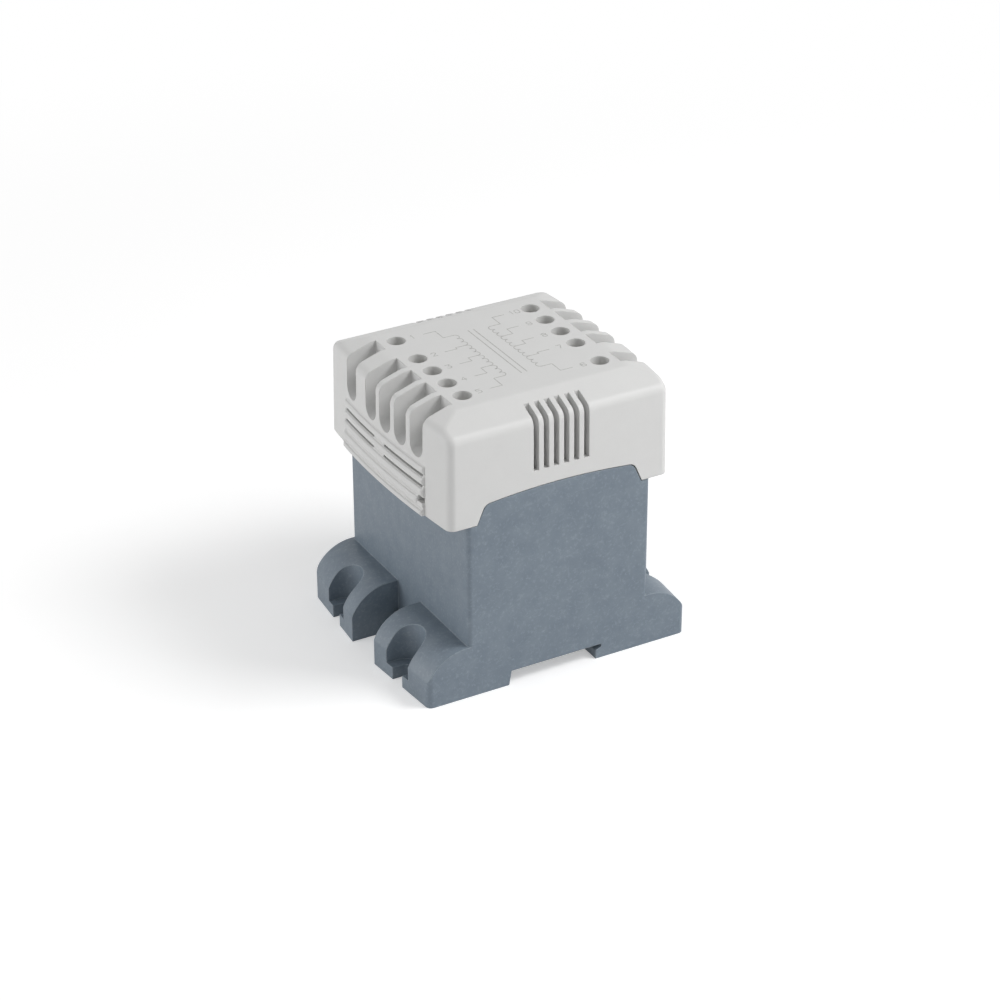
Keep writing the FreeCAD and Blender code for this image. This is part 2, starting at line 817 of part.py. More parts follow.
def clamp_frame(side):
    """Angle along the lower yoke, bolted through the core and screwed to the floor."""
    near = -S.core_stack / 2
    base = core_base()
    wide = middle(S.clamp_half_width)
    wall = box((near - S.clamp_thickness, near), wide, (base, base + S.clamp_height), side=side)
    foot_strip = box((near - S.clamp_foot, near), wide, (base, base + S.clamp_thickness), side=side)
    bolt_holes = core_holes_for_frame(side)
    screw_holes = [post(S.frame_screw_radius + S.thread_clearance, (x, y, base - MARGIN), 2 * MARGIN)
                   for x, y in frame_screw_places() if x.value * side < 0]
    frame = cut(fuse(wall, foot_strip), *bolt_holes, *screw_holes)
    return sub_part(frame, f"clamp_frame_{SIDE_NAMES[side]}")


def core_holes_for_frame(side):
    """Bolt holes through a clamp frame."""
    near = -(S.core_stack / 2 + S.clamp_thickness + MARGIN)
    start = near if side == LEFT else S.core_stack / 2 - MARGIN
    return [post(S.core_hole_radius, (start, y, z), S.clamp_thickness + 2 * MARGIN, axis="x")
            for y, z in core_hole_places()[:2]]


def core_bolts():
    """Four bolts through the core's corners, with their nuts."""
    bolts = []
    nuts = []
    for n, (y, z) in enumerate(core_hole_places()):
        seat = S.core_stack / 2 + (S.clamp_thickness if n < 2 else 0)
        shank = post(S.bolt_radius, (-seat, y, z), 2 * seat + S.nut_height + S.bolt_end, axis="x")
        corner = S.bolt_key_width / root(as_size(3))
        head = post(corner, (-seat - S.bolt_head_height, y, z), S.bolt_head_height, axis="x")
        bolts.append(fuse(shank, head))
        hexagon = post(corner, (seat, y, z), S.nut_height, axis="x")
        bore = post(S.bolt_radius + S.thread_clearance, (seat - MARGIN, y, z),
                    S.nut_height + 2 * MARGIN, axis="x")
        nuts.append(cut(hexagon, bore))
    sub_part(group(*bolts), "core_bolts")
    sub_part(group(*nuts), "core_nuts")


def frame_screws():
    """Self-cutting screws through the clamp frames' feet."""
    seat = core_base() + S.clamp_thickness
    length = S.frame_screw_length + S.clamp_thickness - S.frame_screw_tip_gap
    screws = []
    for x, y in frame_screw_places():
        shank = post(S.frame_screw_radius, (x, y, seat - length), length)
        head = post(S.frame_screw_head_radius, (x, y, seat), S.frame_screw_head_height)
        screws.append(fuse(shank, head))
    return sub_part(group(*screws), "frame_screws")


# Terminals

def cage_range():
    """Where a clamp cage lies along X."""
    return about(-S.terminal_row, S.cage_length / 2)


def terminal_block(side):
    """Carrier of one row: a plate on the housing's rim and a tower with a cell for each terminal."""
    plate = box((-S.block_plate_outer, -S.block_plate_inner), middle(S.block_plate_half_width),
                (S.body_height, S.body_height + S.block_plate_thickness), side=side)
    row = S.terminal_gap + 3 * S.terminal_pitch + S.cage_width
    half = row / 2 + S.block_cell_clearance + S.block_end_wall
    tower = box((-S.block_outer, -S.block_plate_inner), middle(half), (S.body_height, S.block_top), side=side)
    step = core_base() + S.core_height + S.block_step_gap
    shelf = box((-S.block_outer, -S.block_inner), middle(half), (step, S.block_top), side=side)
    cage_x = cage_range()
    cell_inner = cage_x[1] + S.block_cell_clearance
    cell_half = S.cage_width / 2 + S.block_cell_clearance
    bar_half = S.bar_width / 2 + S.block_cell_clearance
    cells = []
    for y in terminal_places():
        cells.append(box((-S.block_outer - MARGIN, cell_inner), about(y, cell_half),
                         (S.cage_bottom, S.block_top + MARGIN), side=side))
        cells.append(box((cell_inner - MARGIN, -S.block_inner + MARGIN), about(y, bar_half),
                         (S.bar_bottom, S.block_top + MARGIN), side=side))
    carrier = cut(fuse(plate, tower, shelf), *cells)
    return sub_part(carrier, f"terminal_block_{SIDE_NAMES[side]}")


def clamp_cage(side, number, y):
    """Steel cage that pulls the wire up against the current bar."""
    half = S.cage_width / 2
    shell = box(cage_range(), about(y, half), (S.cage_bottom, S.cage_top), side=side)
    window = box((cage_range()[0] - MARGIN, cage_range()[1] + MARGIN), about(y, half - S.cage_wall),
                 (S.cage_bottom + S.cage_wall, S.cage_top - S.cage_wall), side=side)
    bore = post(S.screw_shank_radius + S.thread_clearance, (-S.terminal_row, y, S.cage_top - 2 * S.cage_wall),
                4 * S.cage_wall, side=side)
    return sub_part(cut(shell, window, bore), f"clamp_cage_{SIDE_NAMES[side]}_{number}")


def bar_tail_range():
    """Where the tails of the current bars lie along X: beside the block's inner face."""
    outer = S.block_cell_clearance - S.block_inner
    return (outer, outer + S.bar_tail_thickness)


def current_bar(side, number, y):
    """Tinned bar through the cage with a tail down to its lead."""
    tail = bar_tail_range()
    half = S.bar_width / 2
    top = S.bar_bottom + S.bar_thickness
    flat = box((-S.block_outer + S.block_cell_clearance, tail[1]), about(y, half), (S.bar_bottom, top), side=side)
    drop = box(tail, about(y, half), (S.bar_tail, top), side=side)
    return sub_part(fuse(flat, drop), f"current_bar_{SIDE_NAMES[side]}_{number}")


def terminal_screws(side):
    """Slotted screws of one row."""
    screws = []
    head_bottom = S.screw_head_top - S.screw_head_thickness
    tip = S.bar_bottom + S.bar_thickness
    for y in terminal_places():
        head = post(S.screw_head_radius, (-S.terminal_row, y, head_bottom), S.screw_head_thickness,
                    side=side, flats=HEAD_FLAT_COUNT)
        shank = post(S.screw_shank_radius, (-S.terminal_row, y, tip), head_bottom - tip, side=side)
        slot = box((-S.terminal_row - 2 * S.screw_head_radius, -S.terminal_row + 2 * S.screw_head_radius),
                   about(y, S.screw_slot_width / 2),
                   (S.screw_head_top - S.screw_slot_depth, S.screw_head_top + MARGIN), side=side)
        screws.append(cut(fuse(head, shank), slot))
    return sub_part(group(*screws), f"terminal_screws_{SIDE_NAMES[side]}")


def leads(side, name):
    """Wires from the coil former up to the current bars."""
    tail = bar_tail_range()
    foot = former_levels()[2]
    wires = [post(S.lead_radius, ((tail[0] + tail[1]) / 2, y, foot), S.bar_tail - foot, side=side)
             for y in terminal_places()]
    return sub_part(group(*wires), name)


# Cover

def cover_ends():
    """Bowed end of the cover, turned about the bow's axis: drafted wall, sloped shoulder and top."""
    half_width = S.cover_width / 2
    end_x = -(S.cover_length / 2 + S.cover_bow)
    axis_x = end_x + bow_radius(half_width, S.cover_bow)
    shoulder = S.cover_top - S.end_slope_drop
    lean = S.cover_draft
    slope_x = end_x + lean + S.end_slope_run
    start = (end_x, S.cover_bottom)
    corner = (end_x + lean, shoulder)
    crest = (slope_x, S.cover_top)
    profile = outline("xz", [start] + tangent_arc(start, corner, crest, S.end_shoulder_round) + [
        crest,
        (axis_x - S.cover_length, S.cover_top),
        (axis_x - S.cover_length, S.cover_bottom),
    ])
    return round_edges(swept_about(profile, axis_x), S.end_crest_round,
                       lambda edge: lies_at(S.cover_top)(edge) and edge.BoundBox.XMin < slope_x.value + MARGIN
                       and edge.BoundBox.YLength > S.cover_width.value)


def cover_sides(inset, roof, run, drop, bottom, length):
    """Cross-section of the cover along X: drafted walls with a sloped shoulder to the top."""
    half = S.cover_width / 2 - inset
    top = S.cover_top - roof
    low = half
    high = half - S.cover_draft
    return prism(outline("yz", [
        (-low, bottom), (low, bottom), (high, top - drop), (high - run, top),
        (run - high, top), (-high, top - drop),
    ], offset=-length / 2), (1, 0, 0), length)


def cover_outside():
    """Outer form of the cover."""
    left = cover_ends()
    long_side = cover_sides(as_size(0), as_size(0), S.front_slope_run, S.front_slope_drop, S.cover_bottom,
                            S.cover_length + 2 * S.cover_bow + 2 * MARGIN)
    shoulders = round_edges(long_side, S.front_shoulder_round, lies_at(S.cover_top - S.front_slope_drop))
    return common(left, mirrored(left), shoulders)


def cover_hollow():
    """Room inside the cover, open at the bottom."""
    half = S.cover_length / 2 - S.cover_wall
    top = S.cover_top - S.cover_roof
    low = S.cover_bottom - MARGIN
    shoulder = top - S.end_slope_drop - S.cover_draft
    shoulder_run = S.end_slope_run - S.cover_wall
    across = prism(outline("xz", [
        (-half, low), (-half, shoulder), (shoulder_run - half, top),
        (half - shoulder_run, top), (half, shoulder), (half, low),
    ], offset=-S.cover_width / 2), (0, 1, 0), S.cover_width)
    along = cover_sides(S.cover_wall, S.cover_roof, S.front_slope_run, S.front_slope_drop, low, S.cover_length)
    return common(across, along)


def wire_slot_blocks(side):
    """Solid ribs round the wire slots of one end, and square collars round its screw holes."""
    parts = []
    outer = -(S.cover_length / 2 - S.cover_wall)
    top = S.cover_top - S.cover_roof
    collar = S.screw_hole_radius + S.collar_wall
    for y in terminal_places():
        half = S.wire_slot_width / 2 + S.wire_slot_wall
        parts.append(box((outer, S.wire_slot_wall - S.wire_slot_end), about(y, half),
                         (S.wire_slot_bottom - S.wire_slot_floor, top), side=side))
        parts.append(box(about(-S.terminal_row, collar), about(y, collar), (S.block_top, top), side=side))
    return parts


def wire_slot(side, y):
    """Round-bottomed slot, open at the top and the end, whose floor rises to its square inner end."""
    half = S.wire_slot_width / 2
    centre = side * y
    start_x = S.cover_length / 2 + S.cover_bow + MARGIN
    profile = outline("yz", [
        (centre - half, S.cover_height),
        (centre - half, half),
        (centre, 0, -half),
        (centre + half, half, -half),
        (centre + half, S.cover_height),
    ])
    trough = prism(profile, (side, 0, 0), start_x)
    tilt = math.degrees(math.atan(S.wire_slot_rise.value))
    trough.Placement.Rotation = FreeCAD.Rotation(FreeCAD.Vector(0, 1, 0), -side * tilt)
    link(trough, "Placement.Base.x", -side * start_x)
    link(trough, "Placement.Base.z", S.wire_slot_bottom - MARGIN * S.wire_slot_rise)
    trim = box((-start_x - MARGIN, -S.wire_slot_end), about(y, S.wire_slot_width),
               (S.wire_slot_bottom - MARGIN, S.cover_top + MARGIN), side=side)
    return common(trough, trim)


def wire_slot_cuts(side):
    """Wire slots of one end, with their windows and screw holes."""
    tools = []
    run = S.cover_length / 2 + S.cover_bow - S.wire_slot_end
    end_low = S.wire_slot_bottom + S.wire_slot_rise * run
    for y in terminal_places():
        tools.append(wire_slot(side, y))
        tools.append(box((-S.wire_slot_end - S.cover_wall, S.cover_wall - S.wire_slot_end),
                         about(y, S.wire_window_width / 2),
                         (end_low + S.wire_slot_wall, S.wire_window_top), side=side))
        tools.append(rod(S.screw_hole_radius, (-S.terminal_row, y, S.block_top - MARGIN),
                         S.cover_top - S.block_top + 2 * MARGIN, side=side))
    return tools


def vent_cuts():
    """Vents up both long sides and over their shoulders."""
    tools = []
    face = S.cover_width / 2
    inner = face - S.cover_draft - S.vent_run
    count = int(SIZES["vent_count"])
    for n in range(count):
        x = (n - (count - 1) / 2) * S.vent_pitch + S.vent_shift
        for side in (LEFT, RIGHT):
            tools.append(box(about(x, S.vent_width / 2), (-face - MARGIN, -inner),
                             (S.vent_bottom, S.cover_top + MARGIN), side=side))
    return tools


def arch_cut():
    """Opening on the long sides that the housing's tongues stand in."""
    low = S.cover_bottom - MARGIN
    points = [(-S.arch_foot_half, low)] + arch_points(as_size(0)) + [(S.arch_foot_half, low)]
    face = outline("xz", points, offset=-(S.cover_width / 2 + MARGIN))
    return prism(face, (0, 1, 0), S.cover_width + 2 * MARGIN)


def louvre_face(z):
    """How far out the louvred panel stands at a height, before its grooves."""
    wall = S.cover_length / 2 + S.cover_bow
    share = (S.louvre_top - z) / (S.louvre_top - S.cover_bottom)
    return wall + S.louvre_proud * share


def louvre_panel():
    """Left panel: rows of rounded slats, turned about the bow's axis and trimmed to its width."""
    half_width = S.cover_width / 2
    axis_x = bow_radius(half_width, S.cover_bow) - (S.cover_length / 2 + S.cover_bow)
    inner = -(S.cover_length / 2 - S.cover_wall)
    points = [(inner, S.cover_bottom), (-louvre_face(S.cover_bottom), S.cover_bottom)]
    room = S.louvre_top - S.cover_bottom - S.louvre_groove_half - S.louvre_foot
    count = int((room / S.louvre_pitch).value) + 1
    for n in range(count - 1, -1, -1):
        z = S.louvre_top - n * S.louvre_pitch
        low = z - S.louvre_groove_half
        points.append((-louvre_face(low), low))
        points.append((S.louvre_groove_depth - louvre_face(z), z))
        if n > 0:
            high = z + S.louvre_groove_half
            points.append((-louvre_face(high), high))
    points.append((inner, S.louvre_top))
    turned = swept_about(outline("xz", points), axis_x)
    trim = box((-(S.cover_length / 2 + S.cover_bow + 2 * MARGIN), inner), middle(S.louvre_half_width),
               (S.cover_bottom, S.louvre_top))
    return common(turned, trim)


def louvre_cuts(side):
    """Slits between the upper slats, the panel's upright joints and the cover's release slot."""
    tools = []
    outer = -(S.cover_length / 2 + S.cover_bow + 2 * MARGIN)
    inner = -(S.cover_length / 2 - S.cover_wall - MARGIN)
    for n in range(1, int(SIZES["louvre_slit_rows"]) + 1):
        z = S.louvre_top - n * S.louvre_pitch
        height = about(z, S.louvre_slit_height / 2)
        half_bridge = S.louvre_bridge / 2
        tools.append(box((outer, inner), (-S.louvre_slit_half_width, S.louvre_bridge_shift - half_bridge),
                         height, side=side))
        tools.append(box((outer, inner), (S.louvre_bridge_shift + half_bridge, S.louvre_slit_half_width),
                         height, side=side))
    edge = S.louvre_half_width
    tools.append(box((outer, inner), (-edge, S.release_width - edge),
                     (S.release_base, S.release_base + S.release_height), side=side))
    return tools


def terminal_cover():
    """Cover with its wire slots, screw holes, vents and louvred ends."""
    outside = cover_outside()
    doc.recompute()
    corners = round_edges(outside, S.cover_corner, is_corner)
    panel = louvre_panel()
    blocks = wire_slot_blocks(LEFT) + wire_slot_blocks(RIGHT)
    shell = fuse(cut(corners, cover_hollow()), panel, half_turn(panel), *blocks)
    tools = wire_slot_cuts(LEFT) + wire_slot_cuts(RIGHT) + louvre_cuts(LEFT) + louvre_cuts(RIGHT)
    return sub_part(cut(shell, arch_cut(), *vent_cuts(), *tools), "terminal_cover")


def is_corner(edge):
    """True for the four upright corner edges of the cover's walls."""
    box_ = edge.BoundBox
    tall = box_.ZLength > S.cover_height.value / 2
    return tall and box_.XLength < CORNER_LEAN and box_.YLength < CORNER_LEAN


# Assembly

def write_parts():
    """Check every object, then write each sub-part."""
    doc.recompute()
    for feature in doc.Objects:
        state = set(feature.State)
        if state & {"Invalid", "Error"}:
            raise RuntimeError(f"{feature.Name} ({feature.Label}) failed: {feature.State}")
    os.makedirs("parts", exist_ok=True)
    for node in nodes:
        shape = node.Shape
        if shape.isNull() or not shape.isValid() or not shape.Solids:
            raise RuntimeError(f"{node.Label} has no valid solid")
    for node in nodes:
        node.Shape.exportStep(f"parts/{node.Label}.step")
        print(f"{node.Label}: {len(node.Shape.Solids)} solid(s), {node.Shape.Volume / 1000:.2f} cm3")


housing()
rail_latch()
latch_spring()
core_stacks()
coil_former()
windings()
clamp_frame(LEFT)
clamp_frame(RIGHT)
core_bolts()
frame_screws()
for side in (LEFT, RIGHT):
    terminal_block(side)
    for number, y in enumerate(terminal_places(), start=1):
        clamp_cage(side, number, y)
        current_bar(side, number, y)
    terminal_screws(side)
leads(LEFT, "primary_leads")
leads(RIGHT, "secondary_leads")
terminal_cover()
write_parts()
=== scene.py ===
"""Control transformer: finishes, print, screws, slats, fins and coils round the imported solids, with studio and camera.

Sizes are in metres in the part's own frame: +Z up, X from one row of terminals to the other, origin at the
centre of the underside.
"""

import logging
import math
from dataclasses import dataclass
from enum import Enum

import bmesh
import bpy
import numpy as np
from mathutils import Matrix, Vector

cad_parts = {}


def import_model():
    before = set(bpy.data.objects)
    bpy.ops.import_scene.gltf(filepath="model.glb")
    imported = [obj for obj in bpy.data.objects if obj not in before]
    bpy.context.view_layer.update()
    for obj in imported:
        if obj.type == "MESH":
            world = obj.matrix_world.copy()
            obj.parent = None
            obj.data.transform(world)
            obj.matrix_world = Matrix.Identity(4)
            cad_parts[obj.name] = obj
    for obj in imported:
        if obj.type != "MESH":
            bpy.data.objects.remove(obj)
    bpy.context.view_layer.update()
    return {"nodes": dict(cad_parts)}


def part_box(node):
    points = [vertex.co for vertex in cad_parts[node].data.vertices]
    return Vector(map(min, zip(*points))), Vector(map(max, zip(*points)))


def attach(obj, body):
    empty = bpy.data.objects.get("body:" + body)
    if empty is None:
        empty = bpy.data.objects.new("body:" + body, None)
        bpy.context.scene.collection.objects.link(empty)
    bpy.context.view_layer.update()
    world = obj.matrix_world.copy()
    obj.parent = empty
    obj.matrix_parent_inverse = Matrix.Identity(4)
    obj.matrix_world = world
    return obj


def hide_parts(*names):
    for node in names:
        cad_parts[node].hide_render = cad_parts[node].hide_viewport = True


LOG = logging.getLogger("control_transformer")
MM = 0.001
FIXED_BODY = "transformer"
# Terminals of one row along Y, in millimetres, from its first to its fifth.
TERMINAL_PLACES = (24.2, 8.05, -2.7, -13.45, -24.2)
PRIMARY_WIRE = 0.9 * MM
SECONDARY_WIRE = 1.4 * MM
PLASTIC_IOR = 1.5
# Points closer than the first are one point, and edges shorter than the second are dropped.
MERGE_DISTANCE = 1e-7
FLAT_DISTANCE = 1e-8
WHITE = (1.0, 1.0, 1.0, 1.0)


# Small tools


def linear(hex_colour: str) -> tuple[float, float, float, float]:
    """Turn an sRGB hex value to linear light.

    Args:
        hex_colour: Colour written as rrggbb.

    Returns:
        Linear red, green, blue and an alpha of one.
    """
    channels = [int(hex_colour[n:n + 2], 16) / 255 for n in (0, 2, 4)]
    light = [c / 12.92 if c <= 0.04045 else ((c + 0.055) / 1.055) ** 2.4 for c in channels]
    return (light[0], light[1], light[2], 1.0)


def add_node(tree: bpy.types.NodeTree, kind: str, links: dict | None = None, **settings: object) -> bpy.types.Node:
    """Add one node with its settings, socket values and links.

    Args:
        tree: Node tree that takes the node.
        kind: Blender's name of the node type.
        links: Input name or number to a value or to another node's output socket.
        settings: Properties of the node itself.

    Returns:
        The new node.
    """
    node = tree.nodes.new(kind)
    for name, value in settings.items():
        setattr(node, name, value)
    for name, value in (links or {}).items():
        if isinstance(value, bpy.types.NodeSocket):
            tree.links.new(value, node.inputs[name])
        else:
            node.inputs[name].default_value = value
    return node


def new_material(name: str) -> tuple[bpy.types.Material, bpy.types.NodeTree, bpy.types.Node]:
    """Start a material with only its output node.

    Args:
        name: The material's name.

    Returns:
        The material, its tree and its output node.
    """
    material = bpy.data.materials.new(name)
    material.use_nodes = True
    tree = material.node_tree
    tree.nodes.clear()
    return material, tree, tree.nodes.new("ShaderNodeOutputMaterial")


def mesh_piece(name: str, points: np.ndarray, faces: np.ndarray, smooth: bool = True) -> bpy.types.Object:
    """Put arrays of points and quads into a mesh object at the origin.

    Args:
        name: The piece's name.
        points: N by 3 places in metres.
        faces: M by 4 point numbers, anticlockwise from outside.
        smooth: Whether faces are shaded smooth.

    Returns:
        The new object.
    """
    mesh = bpy.data.meshes.new(name)
    mesh.from_pydata(points.tolist(), [], faces.tolist())
    mesh.validate()
    mesh.polygons.foreach_set("use_smooth", np.full(len(mesh.polygons), smooth))
    mesh.update()
    piece = bpy.data.objects.new(name, mesh)
    bpy.context.scene.collection.objects.link(piece)
    return piece


def clean_mesh(piece: bpy.types.Object) -> None:
    """Merge doubled points, drop flat faces and point all faces outwards.

    Args:
        piece: The piece to clean.
    """
    work = bmesh.new()
    work.from_mesh(piece.data)
    bmesh.ops.remove_doubles(work, verts=work.verts, dist=MERGE_DISTANCE)
    bmesh.ops.dissolve_degenerate(work, edges=work.edges, dist=FLAT_DISTANCE)
    bmesh.ops.recalc_face_normals(work, faces=work.faces)
    work.to_mesh(piece.data)
    work.free()


def grid_faces(rows: int, columns: int, close_columns: bool = False, flip: bool = False) -> np.ndarray:
    """Quads of a grid whose points are numbered row by row.

    Args:
        rows: Points along the first parameter.
        columns: Points along the second parameter.
        close_columns: Whether the last column joins the first.
        flip: Whether faces point the other way.

    Returns:
        M by 4 point numbers.
    """
    span = columns if close_columns else columns - 1
    r, c = np.meshgrid(np.arange(rows - 1), np.arange(span), indexing="ij")
    after = (c + 1) % columns
    quads = np.stack([r * columns + c, r * columns + after, (r + 1) * columns + after, (r + 1) * columns + c], axis=-1)
    quads = quads.reshape(-1, 4)
    return quads[:, ::-1] if flip else quads


def seen_directly(tree: bpy.types.NodeTree) -> bpy.types.NodeSocket:
    """Add nodes that tell rays from the camera, and through gloss and glass, from rays that light the part.

    Args:
        tree: Node tree that takes the nodes.

    Returns:
        Socket that is one for camera, glossy and transmission rays and nought for all others.
    """
    path = add_node(tree, "ShaderNodeLightPath")
    seen = add_node(tree, "ShaderNodeMath", {0: path.outputs["Is Camera Ray"], 1: path.outputs["Is Glossy Ray"]},
                    operation="MAXIMUM")
    seen = add_node(tree, "ShaderNodeMath", {0: seen.outputs[0], 1: path.outputs["Is Transmission Ray"]},
                    operation="MAXIMUM")
    return seen.outputs[0]


# Finishes


@dataclass(frozen=True)
class MouldedPlastic:
    """Injection-moulded plastic: spark-eroded grain, faint flow mottling, softened edges and a painted highlight along
    them.

    The grain of the mould is finer than the render can show, so it is drawn as coarse as it needs to be seen.
    """

    name: str
    colour: str
    cloud_colour: str
    fleck_colour: str
    fleck_share: float
    roughness: float
    grain_mm: float
    grain_depth_mm: float
    cloud_mm: float
    edge_mm: float
    # The edge colour, its share and its range set a painted highlight along the softened edges.
    edge_colour: str
    edge_share: float
    cloud_range: tuple[float, float] = (0.32, 0.68)
    fleck_range: tuple[float, float] = (0.52, 0.74)
    fleck_to_grain: float = 2.2
    edge_range: tuple[float, float] = (0.995, 0.86)

    def make(self) -> bpy.types.Material:
        """Build the material.

        Returns:
            Cloudy base colour with fine flecks, a painted highlight that lightens the edges, and a fine bump.
        """
        material, tree, output = new_material(self.name)
        place = add_node(tree, "ShaderNodeTexCoord").outputs["Object"]
        cloud = add_node(tree, "ShaderNodeTexNoise", {
            "Vector": place, "Scale": 1 / (self.cloud_mm * MM), "Detail": 4.0, "Roughness": 0.6})
        cloudy = add_node(tree, "ShaderNodeMapRange", {
            "Value": cloud.outputs["Fac"], "From Min": self.cloud_range[0], "From Max": self.cloud_range[1]})
        fleck = add_node(tree, "ShaderNodeTexNoise", {
            "Vector": place, "Scale": 1 / (self.grain_mm * self.fleck_to_grain * MM), "Detail": 3.0, "Roughness": 0.7})
        flecked = add_node(tree, "ShaderNodeMapRange", {
            "Value": fleck.outputs["Fac"], "From Min": self.fleck_range[0], "From Max": self.fleck_range[1],
            "To Max": self.fleck_share})
        base = add_node(tree, "ShaderNodeMix", {
            0: cloudy.outputs["Result"], 6: linear(self.colour), 7: linear(self.cloud_colour)}, data_type="RGBA")
        mixed = add_node(tree, "ShaderNodeMix", {
            0: flecked.outputs["Result"], 6: base.outputs[2], 7: linear(self.fleck_colour)}, data_type="RGBA")
        soft = add_node(tree, "ShaderNodeBevel", {"Radius": self.edge_mm * MM}, samples=6)
        sharp = add_node(tree, "ShaderNodeNewGeometry").outputs["Normal"]
        # Where the bevelled normal turns from the true one, the colour goes towards a lighter one: a painted highlight
        # along edges.
        facing = add_node(tree, "ShaderNodeVectorMath", {0: soft.outputs["Normal"], 1: sharp}, operation="DOT_PRODUCT")
        painted_edge_highlight = add_node(tree, "ShaderNodeMapRange", {
            "Value": facing.outputs["Value"], "From Min": self.edge_range[0], "From Max": self.edge_range[1],
            "To Max": self.edge_share})
        coloured = add_node(tree, "ShaderNodeMix", {
            0: painted_edge_highlight.outputs["Result"], 6: mixed.outputs[2], 7: linear(self.edge_colour)}, data_type="RGBA")
        grain = add_node(tree, "ShaderNodeTexNoise", {
            "Vector": place, "Scale": 1 / (self.grain_mm * MM), "Detail": 2.0})
        bump = add_node(tree, "ShaderNodeBump", {
            "Height": grain.outputs["Fac"], "Distance": self.grain_depth_mm * MM, "Normal": soft.outputs["Normal"]})
        shader = add_node(tree, "ShaderNodeBsdfPrincipled", {
            "Base Color": coloured.outputs[2], "Roughness": self.roughness, "IOR": PLASTIC_IOR,
            "Normal": bump.outputs["Normal"]})
        tree.links.new(shader.outputs["BSDF"], output.inputs["Surface"])
        return material


@dataclass(frozen=True)
class Metal:
    """Plated, bright-drawn or rolled metal with fine tool lines."""

    name: str
    colour: str
    roughness: float
    line_mm: float
    line_axis: tuple[float, float, float]
    line_depth_mm: float
    edge_mm: float = 0.12
    line_range: tuple[float, float] = (0.3, 0.7)
    roughness_spread: float = 0.2

    def make(self) -> bpy.types.Material:
        """Build the material.

        Returns:
            Metal with a stretched noise in roughness and bump.
        """
        material, tree, output = new_material(self.name)
        place = add_node(tree, "ShaderNodeTexCoord").outputs["Object"]
        turned = add_node(tree, "ShaderNodeMapping", {"Vector": place, "Scale": self.line_axis})
        lines = add_node(tree, "ShaderNodeTexNoise", {
            "Vector": turned.outputs["Vector"], "Scale": 1 / (self.line_mm * MM), "Detail": 3.0})
        rough = add_node(tree, "ShaderNodeMapRange", {
            "Value": lines.outputs["Fac"], "From Min": self.line_range[0], "From Max": self.line_range[1],
            "To Min": self.roughness * (1 - self.roughness_spread),
            "To Max": self.roughness * (1 + self.roughness_spread)})
        soft = add_node(tree, "ShaderNodeBevel", {"Radius": self.edge_mm * MM}, samples=4)
        bump = add_node(tree, "ShaderNodeBump", {
            "Height": lines.outputs["Fac"], "Distance": self.line_depth_mm * MM, "Normal": soft.outputs["Normal"]})
        shader = add_node(tree, "ShaderNodeBsdfPrincipled", {
            "Base Color": linear(self.colour), "Metallic": 1.0, "Roughness": rough.outputs["Result"],
            "Normal": bump.outputs["Normal"]})
        tree.links.new(shader.outputs["BSDF"], output.inputs["Surface"])
        return material


@dataclass(frozen=True)
class PrintInk:
    """Pad-printed ink: thin, matt and slightly broken."""

    name: str
    colour: str
    thin_colour: str
    speck_mm: float
    speck_range: tuple[float, float] = (0.4, 0.7)
    roughness: float = 0.6

    def make(self) -> bpy.types.Material:
        """Build the material.

        Returns:
            Matt ink whose cover varies with a fine noise.
        """
        material, tree, output = new_material(self.name)
        place = add_node(tree, "ShaderNodeTexCoord").outputs["Object"]
        speck = add_node(tree, "ShaderNodeTexNoise", {
            "Vector": place, "Scale": 1 / (self.speck_mm * MM), "Detail": 2.0})
        share = add_node(tree, "ShaderNodeMapRange", {
            "Value": speck.outputs["Fac"], "From Min": self.speck_range[0], "From Max": self.speck_range[1]})
        ink = add_node(tree, "ShaderNodeMix", {
            0: share.outputs["Result"], 6: linear(self.colour), 7: linear(self.thin_colour)}, data_type="RGBA")
        shader = add_node(tree, "ShaderNodeBsdfPrincipled", {
            "Base Color": ink.outputs[2], "Roughness": self.roughness})
        tree.links.new(shader.outputs["BSDF"], output.inputs["Surface"])
        return material


@dataclass(frozen=True)
class SheetStack:
    """Stacked silicon-steel sheets, lacquered: one dark and one light line across the stack for each sheet."""

    name: str
    gap_colour: str
    sheet_colour: str
    sheet_mm: float
    line_depth_mm: float
    metallic: float
    roughness: float

    def make(self) -> bpy.types.Material:
        """Build the material.

        Returns:
            Dark metal with a sine wave along X, one wave for each sheet.
        """
        material, tree, output = new_material(self.name)
        place = add_node(tree, "ShaderNodeTexCoord").outputs["Object"]
        split = add_node(tree, "ShaderNodeSeparateXYZ", {"Vector": place})
        phase = add_node(tree, "ShaderNodeMath", {0: split.outputs["X"], 1: 2 * math.pi / (self.sheet_mm * MM)},
                         operation="MULTIPLY")
        wave = add_node(tree, "ShaderNodeMath", {0: phase.outputs["Value"]}, operation="SINE")
        tint = add_node(tree, "ShaderNodeMapRange", {"Value": wave.outputs["Value"], "From Min": -1.0})
        colour = add_node(tree, "ShaderNodeMix", {
            0: tint.outputs["Result"], 6: linear(self.gap_colour), 7: linear(self.sheet_colour)}, data_type="RGBA")
        bump = add_node(tree, "ShaderNodeBump", {
            "Height": tint.outputs["Result"], "Distance": self.line_depth_mm * MM})
        shader = add_node(tree, "ShaderNodeBsdfPrincipled", {
            "Base Color": colour.outputs[2], "Metallic": self.metallic, "Roughness": self.roughness,
            "Normal": bump.outputs["Normal"]})
        tree.links.new(shader.outputs["BSDF"], output.inputs["Surface"])
        return material


